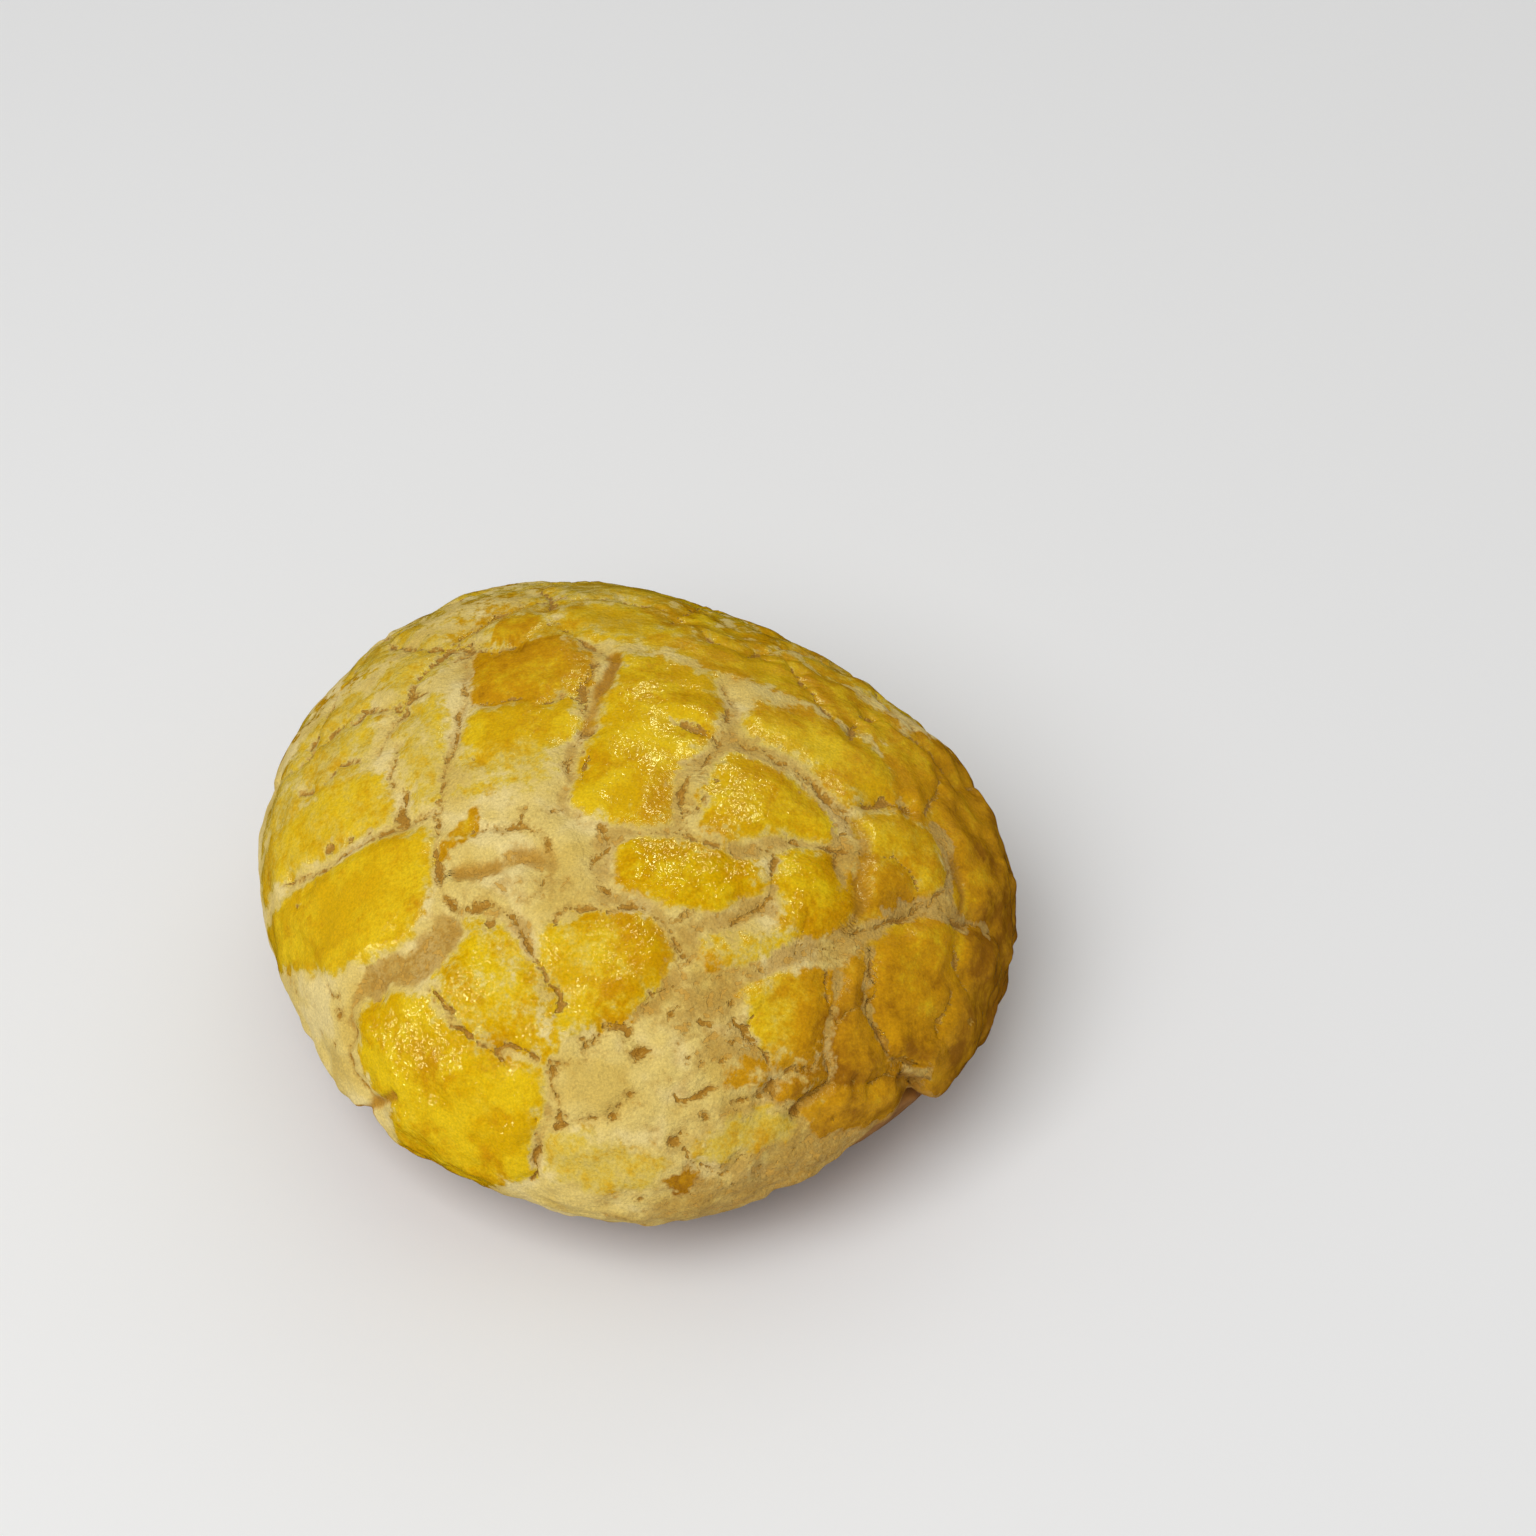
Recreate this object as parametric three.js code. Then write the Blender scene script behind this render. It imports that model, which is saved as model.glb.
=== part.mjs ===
// A pineapple bun: a round bread bun under a shell of cookie dough that split into tiles as it baked.
// Millimetres, +Z up. The origin is the middle of the flat base that the bun rests on.
//
// Both solids are worked out on the flat disc of dough that the baker lays over the bun: a point of that
// disc is (u, v), u to the right and v to the back, with the apex of the bun at (0, 0). Its distance from
// the apex is rho and its azimuth is phi, counted anticlockwise from +X.
import * as THREE from 'three';

// ---- Driving dimensions ----
const bunRadius = 50; // the widest half width
const bunHeight = 48; // the top of the dome
const widestHeight = 17; // the height where the bun is widest
const undersideDepth = 17.5; // how deep the lower half would reach if it weren't cut short
const shoulderFullness = 0.92; // under 1 makes the dome fuller than an ellipse
const quarterLength = 66; // the length of dough from the apex to the widest line
const outlineWaves = [ // [lobes, cosine part, sine part]: how far the plan is from a circle
  [2, -0.9, -3.1],
  [3, 1.5, 0.2],
  [4, 0.6, 0.0],
];

const crustThickness = 3.0;
const crustGap = 0.4; // between the crust and the bread that carries it
const lipThinning = 0.4; // how much thinner the crust is at its edge
const tileRise = 0.9; // how far the middle of a tile stands above its cracks
const tileShoulder = 2.6; // how quickly a tile rises from its edge
const lumpHeight = 0.35; // the slow unevenness of the whole crust
const foldedLobe = { u: 52, v: -34, height: 1.3, reach: 9 }; // the crust folded over itself at its edge
const backSeamDepth = 0.9;
const backSeamReach = 1.3;

const skirtStart = 84; // rho where the bread leaves the round form and turns in to its base
const skirtCurve = 1.3;
const baseRadius = 34;
const breadInset = 1.0; // how far the bare bread lies under the round form
const swellStart = 1.4; // the bread swells out to that inset this far past the crust's edge
const swellEnd = 4.6;

const crustStep = 2.45; // the side of a facet on the outside of the crust
const innerStep = 4.6; // and on the hidden faces
const skirtStep = 3.4;
const skirtRings = 5;

// Where the crust ends: [azimuth in degrees, rho]. It is lobed, with notches that show the bread.
const rimPoints = [
  [-180, 80], [-163, 81], [-146, 78], [-138, 76], [-130, 66], [-123, 76], [-108, 83], [-90, 84.5],
  [-76, 81], [-66, 74], [-56, 67], [-48, 65], [-44, 62.5], [-39, 71], [-33, 77], [-22, 80], [-8, 83],
  [8, 80], [22, 82], [36, 76], [47, 81], [63, 83], [74, 78], [81, 68], [88, 77], [103, 82], [121, 80],
  [132, 74], [143, 80], [160, 83],
];

// The seams that the crust split along, on the flat disc: depth, reach to each side, and the route.
const seams = [
  { depth: 1.3, reach: 1.3, route: [[-14, 24], [-16.5, 15.5], [-15.8, 8.5], [-19.5, -5], [-20.7, -16], [-17.5, -23]] },
  { depth: 1.0, reach: 1.2, route: [[-15, 15.3], [-11, 14], [-7, 18.5]] },
  { depth: 1.6, reach: 1.5, route: [[-2, 13], [-1.2, 7], [-3.2, 0.3], [-5, -5.5], [-6.7, -11]] },
  { depth: 0.6, reach: 1.0, route: [[-14, 5.2], [-8, 4.3], [-3.5, 4.3]] },
  { depth: 1.4, reach: 1.6, route: [[11.3, 8.3], [10.2, 1.7], [5.7, -7], [6.3, -12.3]] },
  { depth: 1.5, reach: 1.3, route: [[9.7, -0.7], [15, -3], [22.5, -7.5], [23, -12], [24.7, -17.8]] },
  { depth: 1.4, reach: 1.3, route: [[22.5, -7.5], [28.5, -5.3], [35, -4], [38, 0.5]] },
  { depth: 1.1, reach: 1.3, route: [[-1.3, -12], [5.7, -12.3], [11.7, -15.3]] },
  { depth: 0.9, reach: 1.2, route: [[11.7, -15.3], [17.3, -12.8], [24.7, -12.5]] },
  { depth: 1.0, reach: 1.3, route: [[-0.7, -12.7], [-1.8, -17.5], [0.5, -21.8]] },
  { depth: 1.3, reach: 1.2, route: [[-50, -9.3], [-43.3, -11.3], [-31.7, -11], [-20.5, -9.5]] },
  { depth: 1.0, reach: 1.2, route: [[-26, 7], [-25.3, 2.7], [-27, -2], [-25.3, -10]] },
  { depth: 1.4, reach: 2.4, route: [[-18.7, -24], [-24.7, -29.5], [-36.7, -33]] },
  { depth: 1.3, reach: 1.4, route: [[-18, -22.5], [-9.5, -25], [-7.2, -30.7], [-6.3, -35.3]] },
  { depth: 1.1, reach: 1.4, route: [[-6, -24.5], [0.5, -21.8], [5, -23.7], [7.7, -28], [3.8, -32.5], [1.5, -37.3]] },
  { depth: 1.7, reach: 1.2, route: [[-21.7, -33.2], [-17.7, -38], [-13.5, -41], [-5.3, -41.8]] },
  { depth: 1.4, reach: 1.2, route: [[-7, -42], [-6.4, -49], [-10.3, -54], [-13, -62]] },
  { depth: 1.4, reach: 1.2, route: [[16, -34], [17, -39], [19.7, -45], [24.5, -47.3]] },
  { depth: 1.1, reach: 1.2, route: [[24.3, -28.5], [25.7, -38], [28.2, -42.7]] },
  { depth: 1.6, reach: 1.4, route: [[25.2, -49.7], [27.7, -44.3], [35, -43.2], [41, -41.5]] },
  { depth: 1.8, reach: 1.4, route: [[29.3, -24.3], [31.5, -32], [36.3, -38.3], [42.7, -39.2]] },
  { depth: 1.2, reach: 1.5, route: [[25.7, -24.5], [33, -19.5], [43.3, -17.2], [52.3, -15]] },
  { depth: 1.0, reach: 1.3, route: [[36.7, -6.7], [39.7, -11.7], [36.3, -17]] },
  { depth: 1.0, reach: 1.2, route: [[43.7, -20.7], [46.7, -25.3], [44.3, -34.5]] },
  { depth: 1.3, reach: 1.2, route: [[9.3, -51.3], [9.7, -54.3], [14.3, -58.8]] },
  { depth: 0.9, reach: 1.4, route: [[-30, -46.5], [-36.7, -48.8], [-43.7, -50.7]] },
  { depth: 2.0, reach: 1.6, route: [[41, -41.3], [46.7, -40.5], [51.7, -40.7]] },
];

// ---- The round form ----
const turn = 2 * Math.PI;
const degrees = Math.PI / 180;
const mix = (a, b, share) => a + (b - a) * share;
const smooth = (low, high, x) => THREE.MathUtils.smoothstep(x, low, high);

// An even-handed number from 0 to 1 for each whole number, always the same.
function scatter(n) {
  const s = Math.sin(n * 12.9898) * 43758.5453;
  return s - Math.floor(s);
}

function outlineRadius(phi) {
  return outlineWaves.reduce(
    (r, [lobes, c, s]) => r + c * Math.cos(lobes * phi) + s * Math.sin(lobes * phi),
    bunRadius,
  );
}

// The bun without its relief: its radius goes with the sine of the way down, its height with the cosine.
function roundForm(rho, phi) {
  const t = (rho / quarterLength) * (Math.PI / 2);
  const r = outlineRadius(phi) * Math.sin(t) ** shoulderFullness;
  const c = Math.cos(t);
  const z = widestHeight + c * (c >= 0 ? bunHeight - widestHeight : undersideDepth);
  return new THREE.Vector3(r * Math.cos(phi), r * Math.sin(phi), z);
}

// The direction that points straight out of the round form.
function outward(rho, phi) {
  if (rho < 0.5) return new THREE.Vector3(0, 0, 1);
  const step = 0.2;
  const down = roundForm(rho + step, phi).sub(roundForm(rho - step, phi));
  const around = roundForm(rho, phi + step / rho).sub(roundForm(rho, phi - step / rho));
  return down.cross(around).normalize();
}

// A point that lies `lift` above the round form.
const lifted = (rho, phi, lift) => roundForm(rho, phi).addScaledVector(outward(rho, phi), lift);

// ---- The edge of the crust ----
const rimCurve = new THREE.CatmullRomCurve3(
  rimPoints.map(([azimuth, rho]) => new THREE.Vector3(azimuth, rho, 0)), false, 'centripetal',
);
const rimTable = closeRim(rimCurve.getPoints(rimPoints.length * 12));

// The curve runs from -180 degrees to its last point, and a straight stretch closes the circle.
function closeRim(points) {
  return [...points.map((p) => [p.x, p.y]), [rimPoints[0][0] + 360, rimPoints[0][1]]];
}

function rimRho(phi) {
  const azimuth = THREE.MathUtils.euclideanModulo(phi / degrees + 180, 360) - 180;
  const next = rimTable.findIndex(([a]) => a >= azimuth);
  if (next <= 0) return rimTable[0][1];
  const [a0, r0] = rimTable[next - 1];
  const [a1, r1] = rimTable[next];
  return mix(r0, r1, (azimuth - a0) / (a1 - a0));
}

// ---- The seams ----
// The back split in the same way as the front: seams run down it, and shorter ones cross between them.
function backSeams() {
  const found = [];
  const firstAzimuth = 14;
  const spacing = 30;
  const columns = 6;
  const rows = [25, 42, 58];
  const wander = (n, size) => (scatter(n) - 0.5) * size;
  const place = (azimuth, rho) => [rho * Math.cos(azimuth * degrees), rho * Math.sin(azimuth * degrees)];
  for (let i = 0; i < columns; i++) {
    const azimuth = firstAzimuth + i * spacing;
    const route = [24, 34, 45, 56, 67].map(
      (rho, k) => place(azimuth + wander(10 * i + k, 12), rho + wander(90 + 10 * i + k, 3)),
    );
    found.push({ depth: backSeamDepth, reach: backSeamReach, route });
    if (i === columns - 1) continue;
    for (const [k, rho] of rows.entries()) {
      const rise = rho + wander(200 + 10 * i + k, 9);
      const cross = [0, 0.5, 1].map(
        (share, m) => place(azimuth + share * spacing, rise + wander(300 + 30 * i + 3 * k + m, 5)),
      );
      found.push({ depth: backSeamDepth, reach: backSeamReach, route: cross });
    }
  }
  return found;
}

// Each seam as straight pieces, short enough to look like a curve.
const seamPieces = [...seams, ...backSeams()].flatMap(({ depth, reach, route }) => {
  const line = new THREE.SplineCurve(route.map(([u, v]) => new THREE.Vector2(u, v)));
  const points = line.getPoints((route.length - 1) * 4);
  return points.slice(1).map((end, i) => ({ start: points[i], end, depth, reach }));
});

function nearestOn({ start, end }, point) {
  const along = end.clone().sub(start);
  const share = point.clone().sub(start).dot(along) / along.lengthSq();
  return start.clone().addScaledVector(along, THREE.MathUtils.clamp(share, 0, 1));
}

// The slow unevenness of hand-shaped dough, and the one lobe where the crust lies double.
function lumps(u, v) {
  const waves = Math.sin(u / 9 + 1.1) * Math.cos(v / 11) + Math.sin((u - 1.4 * v) / 17 + 0.4);
  const away = Math.hypot(u - foldedLobe.u, v - foldedLobe.v) / foldedLobe.reach;
  return lumpHeight * waves + foldedLobe.height * Math.exp(-(away ** 2));
}

// How far the crust stands above the round form: tiles swell between the seams, and each seam cuts in.
function relief(u, v) {
  const point = new THREE.Vector2(u, v);
  let nearest = Infinity;
  let cut = 0;
  for (const piece of seamPieces) {
    const distance = nearestOn(piece, point).distanceTo(point);
    nearest = Math.min(nearest, distance);
    cut = Math.max(cut, piece.depth * Math.exp(-((distance / piece.reach) ** 2)));
  }
  const tile = tileRise * (1 - Math.exp(-nearest / tileShoulder)) - tileRise / 2;
  return lumps(u, v) + tile - cut;
}

// A corner of a facet that lies close to a seam is drawn onto it, so that the cut keeps its sharp line.
function drawnToSeam(u, v, limit) {
  const point = new THREE.Vector2(u, v);
  let best = point;
  let bestDistance = limit;
  for (const piece of seamPieces) {
    const candidate = nearestOn(piece, point);
    const distance = candidate.distanceTo(point);
    if (distance < bestDistance) [best, bestDistance] = [candidate, distance];
  }
  return best;
}

// ---- Closed skins made of rings ----
// A ring holds as many corners as its own length needs, evenly spread; the ends are single points.
function ring(shareOfRim, radius, step, place) {
  const count = Math.max(6, Math.round((turn * radius) / step));
  return Array.from({ length: count }, (_, i) => place(shareOfRim, (i / count) * turn));
}

// Joins a row of rings, from one pole to the other, into one closed mesh with its faces out.
function skin(rings) {
  const positions = rings.flat().flatMap((p) => [p.x, p.y, p.z]);
  const indices = [];
  let first = 0;
  for (let k = 0; k + 1 < rings.length; k++) {
    const [a, b] = [rings[k].length, rings[k + 1].length];
    const next = first + a;
    let [i, j] = [0, 0];
    while (i < (a === 1 ? 0 : a) || j < (b === 1 ? 0 : b)) {
      const stepB = b > 1 && (a === 1 || i >= a || (j < b && (j + 0.5) / b <= (i + 0.5) / a));
      const corner = first + (i % a);
      const across = next + (j % b);
      if (stepB) indices.push(corner, across, next + ((j + 1) % b));
      else indices.push(corner, across, first + ((i + 1) % a));
      if (stepB) j++;
      else i++;
    }
    first = next;
  }
  const geometry = new THREE.BufferGeometry();
  geometry.setAttribute('position', new THREE.Float32BufferAttribute(positions, 3));
  geometry.setIndex(indices);
  geometry.computeVertexNormals();
  return geometry;
}

const meanRadius = (rho) => bunRadius * Math.sin((rho / quarterLength) * (Math.PI / 2)) ** shoulderFullness;
const meanRim = rimPoints.reduce((sum, [, rho]) => sum + rho, 0) / rimPoints.length;

// ---- The crust ----
const roundingStart = 1.6; // the outer face begins to turn over this far before the edge
const lipRows = [ // [distance past the edge, share of the thickness under the outer face]
  [-0.5, 0.1],
  [0.5, 0.45],
  [0.2, 0.85],
];

function crustOutside(share, phi) {
  const rho = share * (rimRho(phi) - roundingStart);
  const limit = share < 1 ? 0.4 * crustStep : 0;
  const at = drawnToSeam(rho * Math.cos(phi), rho * Math.sin(phi), limit);
  return lifted(at.length(), Math.atan2(at.y, at.x), relief(at.x, at.y));
}

const crustDepth = (share) => crustThickness - lipThinning * smooth(0.8, 1, share);

function crustLip(past, shareOfDepth) {
  return (_, phi) => {
    const rho = rimRho(phi) + past;
    const top = relief(rho * Math.cos(phi), rho * Math.sin(phi));
    return lifted(rho, phi, mix(top, -crustDepth(1), shareOfDepth));
  };
}

function crustInside(share, phi) {
  const rho = share * (rimRho(phi) - roundingStart);
  return lifted(rho, phi, -crustDepth(share));
}

function crustGeometry() {
  const outer = Math.round(meanRim / crustStep);
  const inner = Math.round(meanRim / innerStep);
  const rings = [[crustOutside(0, 0)]];
  for (let k = 1; k <= outer; k++) {
    const share = k / outer;
    rings.push(ring(share, meanRadius(share * meanRim), crustStep, crustOutside));
  }
  for (const [past, depth] of lipRows) {
    rings.push(ring(1, meanRadius(meanRim), crustStep, crustLip(past, depth)));
  }
  for (let k = inner; k >= 1; k--) {
    const share = k / inner;
    rings.push(ring(share, meanRadius(share * meanRim), innerStep, crustInside));
  }
  rings.push([crustInside(0, 0)]);
  return skin(rings);
}

// ---- The bread ----
// Under the crust the bread keeps clear of it, and past the crust's edge it swells out almost flush.
function breadSurface(rho, phi) {
  const swell = smooth(swellStart, swellEnd, rho - rimRho(phi));
  return lifted(rho, phi, -mix(crustThickness + crustGap, breadInset, swell));
}

// The skirt turns in from the round form to the flat base.
function breadSkirt(share, phi) {
  const start = breadSurface(skirtStart, phi);
  const foot = (baseRadius * outlineRadius(phi)) / bunRadius;
  const r = mix(Math.hypot(start.x, start.y), foot, share);
  return new THREE.Vector3(r * Math.cos(phi), r * Math.sin(phi), start.z * (1 - share) ** skirtCurve);
}

function breadGeometry() {
  const rings = [[breadSurface(0, 0)]];
  const hiddenEnd = 55;
  const hidden = Math.round(hiddenEnd / innerStep);
  for (let k = 1; k <= hidden; k++) {
    const rho = (k / hidden) * hiddenEnd;
    rings.push(ring(rho, meanRadius(rho), innerStep, breadSurface));
  }
  const bare = Math.round((skirtStart - hiddenEnd) / skirtStep);
  for (let k = 1; k <= bare; k++) {
    const rho = mix(hiddenEnd, skirtStart, k / bare);
    rings.push(ring(rho, meanRadius(rho), skirtStep, breadSurface));
  }
  for (let k = 1; k <= skirtRings; k++) {
    const share = k / skirtRings;
    rings.push(ring(share, mix(meanRadius(skirtStart), baseRadius, share), skirtStep, breadSkirt));
  }
  rings.push([new THREE.Vector3(0, 0, 0)]);
  return skin(rings);
}

// ---- The bun ----
const crustFinish = new THREE.MeshStandardMaterial({ color: 0xd6a42a, roughness: 0.42, metalness: 0 });
const breadFinish = new THREE.MeshStandardMaterial({ color: 0xa9702f, roughness: 0.6, metalness: 0 });

function named(name, geometry, material) {
  const mesh = new THREE.Mesh(geometry, material);
  mesh.name = name;
  return mesh;
}

const bun = new THREE.Group();
bun.add(named('bread', breadGeometry(), breadFinish));
bun.add(named('crust', crustGeometry(), crustFinish));

export default bun;
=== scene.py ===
# %% [markdown]
# # A pineapple bun
# A pineapple bun is a soft round bread bun that wears a shell of cookie dough. In the oven the bread swells
# and the shell does not, so the shell tears along seams into tiles. Egg yolk brushed on top turns yellow and
# glossy. Two pieces are made here: the crust and the bread under it. Both are surfaces worked out with numpy
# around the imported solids, in the same place and of the same size.

import bpy
import numpy as np
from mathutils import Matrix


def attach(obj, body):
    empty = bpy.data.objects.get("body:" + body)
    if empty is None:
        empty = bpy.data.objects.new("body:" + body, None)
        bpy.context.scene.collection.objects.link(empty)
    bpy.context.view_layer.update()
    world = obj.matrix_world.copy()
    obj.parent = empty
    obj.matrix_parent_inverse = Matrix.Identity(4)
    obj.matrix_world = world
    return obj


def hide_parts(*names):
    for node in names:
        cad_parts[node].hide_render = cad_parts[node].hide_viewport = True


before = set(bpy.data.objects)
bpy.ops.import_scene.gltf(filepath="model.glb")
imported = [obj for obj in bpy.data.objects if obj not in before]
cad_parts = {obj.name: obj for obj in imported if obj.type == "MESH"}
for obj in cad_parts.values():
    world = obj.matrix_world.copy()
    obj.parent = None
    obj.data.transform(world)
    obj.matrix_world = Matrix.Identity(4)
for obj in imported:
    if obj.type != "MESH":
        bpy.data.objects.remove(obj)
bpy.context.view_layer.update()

# %% [markdown]
# ## The disc of dough
# A baker rolls the cookie dough into a flat disc and lays it over the bun. Every mark on the crust is placed
# on that flat disc, in millimetres: u to the right, v to the back, the top of the bun at (0, 0). One formula
# then bends the disc over the bun. That is easier to think about than points in space, and a seam that is
# straight on the disc stays straight on the bun.

# %% The round form
BUN_RADIUS, BUN_HEIGHT = 50.0, 48.0
WIDEST_HEIGHT, UNDERSIDE_DEPTH = 17.0, 17.5
FULLNESS = 0.92
QUARTER = 66.0
# (waves around the bun, cosine part, sine part) in millimetres
OUTLINE_WAVES = [(2, -0.9, -3.1), (3, 1.5, 0.2), (4, 0.6, 0.0)]
MM = 0.001


def outline_radius(phi):
    """Widest half width at azimuth phi: a circle plus two to four gentle lobes."""
    waves = [c * np.cos(k * phi) + s * np.sin(k * phi) for k, c, s in OUTLINE_WAVES]
    return BUN_RADIUS + sum(waves)


def round_form(rho, phi):
    """Bends the disc: with t a quarter turn at rho = QUARTER, the half width is the outline radius times
    sin(t) to the power FULLNESS, and the height is the widest height plus cos(t) times the dome's rise
    above it, or times the underside's depth below it."""
    t = rho / QUARTER * np.pi / 2
    r = outline_radius(phi) * np.abs(np.sin(t)) ** FULLNESS
    c = np.cos(t)
    z = WIDEST_HEIGHT + c * np.where(c >= 0, BUN_HEIGHT - WIDEST_HEIGHT, UNDERSIDE_DEPTH)
    return np.stack([r * np.cos(phi), r * np.sin(phi), z], -1)


def flat(rho, phi):
    """The place on the disc at the distance rho from the top and the azimuth phi."""
    return np.stack([rho * np.cos(phi), rho * np.sin(phi)], -1)


def polar(uv):
    """The distance from the top and the azimuth of a place on the disc: the inverse of flat."""
    return np.linalg.norm(uv, axis=-1), np.arctan2(uv[..., 1], uv[..., 0])


def outward(rho, phi):
    """Unit normal: the cross product of a step down the bun and a step around it; straight up at the top."""
    step, nearest = 0.2, 0.5
    rho = np.maximum(rho, nearest)
    down = round_form(rho + step, phi) - round_form(rho - step, phi)
    around = round_form(rho, phi + step / rho) - round_form(rho, phi - step / rho)
    normal = np.cross(down, around)
    return normal / np.linalg.norm(normal, axis=-1, keepdims=True)


def lifted(rho, phi, lift):
    """A point lift millimetres above the round form."""
    return round_form(rho, phi) + outward(rho, phi) * np.asarray(lift)[..., None]


turns = np.radians(np.arange(0, 360, 90))
print("half widths at right, back, left and front in mm:", outline_radius(turns).round(1))

# %% [markdown]
# ## Unevenness
# Nothing on a bun is regular. Value noise gives smooth random hills of a chosen size: random numbers on a
# grid, blended in between. The random numbers come from a fixed formula of the grid cell, so the bun is the
# same on every run.

# %% Noise on the disc of dough
# the sine's steps for one cell to the right, one cell up and one seed on, and its large multiple
CELL_STEP_U, CELL_STEP_V, SEED_STEP, SINE_MULTIPLE = 127.1, 311.7, 74.7, 43758.5453
# a finer octave's share of the width and of the height, and its turn
FINER_WIDTH, FINER_HEIGHT = 0.47, 0.5
FINER_TURN = np.array([[0.8, 0.6], [-0.6, 0.8]])


def cell_value(i, j, seed):
    """A number from 0 to 1 for each grid cell: the fraction of a large multiple of a sine."""
    s = np.sin(i * CELL_STEP_U + j * CELL_STEP_V + seed * SEED_STEP) * SINE_MULTIPLE
    return s - np.floor(s)


def hills(uv, size, seed):
    """Smooth hills about size across, from -1 to 1: the four nearest cell values, blended by 3t^2 - 2t^3."""
    p = uv / size
    cell = np.floor(p)
    t = p - cell
    t = t * t * (3 - 2 * t)
    i, j = cell[..., 0], cell[..., 1]
    low = cell_value(i, j, seed) * (1 - t[..., 0]) + cell_value(i + 1, j, seed) * t[..., 0]
    high = cell_value(i, j + 1, seed) * (1 - t[..., 0]) + cell_value(i + 1, j + 1, seed) * t[..., 0]
    return 2 * (low * (1 - t[..., 1]) + high * t[..., 1]) - 1


def rough(uv, size, seed, octaves=3):
    """Hills with smaller hills on them: each octave is a bit under half as wide and half as high."""
    turned = uv.copy()
    total = np.zeros(uv.shape[:-1])
    for k in range(octaves):
        total += hills(turned, size * FINER_WIDTH**k, seed + k) * FINER_HEIGHT**k
        turned = turned @ FINER_TURN
    return total


def ramp(low, high, x):
    """0 below low, 1 above high, smooth in between."""
    t = np.clip((x - low) / (high - low), 0, 1)
    return t * t * (3 - 2 * t)


three_places = np.array([[0.0, 0.0], [3.0, 1.0], [9.0, 4.0]])
print("hills 5 mm across, at three places:", hills(three_places, 5.0, 1).round(2))

# %% [markdown]
# ## The seams
# Where the crust tore there are thin ragged cracks. Each is written down as a short route of a few corners
# on the disc, with half its width and its depth, and a rule roughens it: the route is cut into short steps
# and each step is pushed sideways by noise. A straight-sided groove would look machined. A row says
# (half width, depth, brokenness from 0, open all the way, to 1, mostly closed, route).

# %% Cracks of the upper middle
UPPER_CRACKS = [
    # the long seam to the left of the middle
    (0.30, 1.1, 0.42, [
        (-14, 24), (-15.6, 19), (-16.5, 15.5), (-15.8, 8.5), (-17.5, 2), (-19.5, -5), (-20.8, -11),
    ]),
    (0.42, 1.2, 0.1, [(-20.5, -8.5), (-20.8, -12), (-20.5, -17.5), (-20, -20), (-17.5, -23)]),
    (0.25, 0.7, 0.2, [(-20, 17), (-18, 14.5), (-16.5, 15.5), (-15, 16.5)]),
    # round the browned tile
    (0.22, 0.6, 0.4, [(-15, 15.3), (-13.3, 14.3), (-11, 14), (-8.7, 16.7), (-7, 18.5)]),
    (0.22, 0.6, 0.3, [(-7, 18), (-3.3, 13.3), (-2, 12)]),
    (0.22, 0.5, 0.1, [(-14, 5.2), (-9.7, 5), (-8, 4.3), (-5.7, 5), (-3.5, 4.3)]),
    (0.25, 0.8, 0.1, [(-3.2, 10), (-2.8, 8.7), (-3.3, 5), (-3, 2)]),
    (0.30, 0.9, 0.45, [(-3.2, 0.3), (-4.5, -2), (-5, -5.5), (-4.3, -7.5), (-5.7, -10), (-6.7, -11)]),
    (0.26, 0.8, 0.5, [(-2.2, 0), (-3, -3.5), (-3.2, -6.5)]),
    # right of the middle tile
    (0.30, 0.9, 0.35, [(11.3, 8.3), (11.3, 5), (10.2, 1.7), (9.5, -1), (8.7, -3.3)]),
    (0.32, 0.9, 0.35, [(8.7, -3.3), (7, -5), (5.7, -7), (6, -9.7), (6.3, -12.3)]),
    (0.35, 0.8, 0.1, [(5.2, 0.4), (6.3, 0), (8.5, -1)]),
    (0.22, 0.6, 0.2, [(8.7, -6.3), (8.5, -8.3), (7.3, -9.7)]),
]
print(len(UPPER_CRACKS), "cracks")

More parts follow.
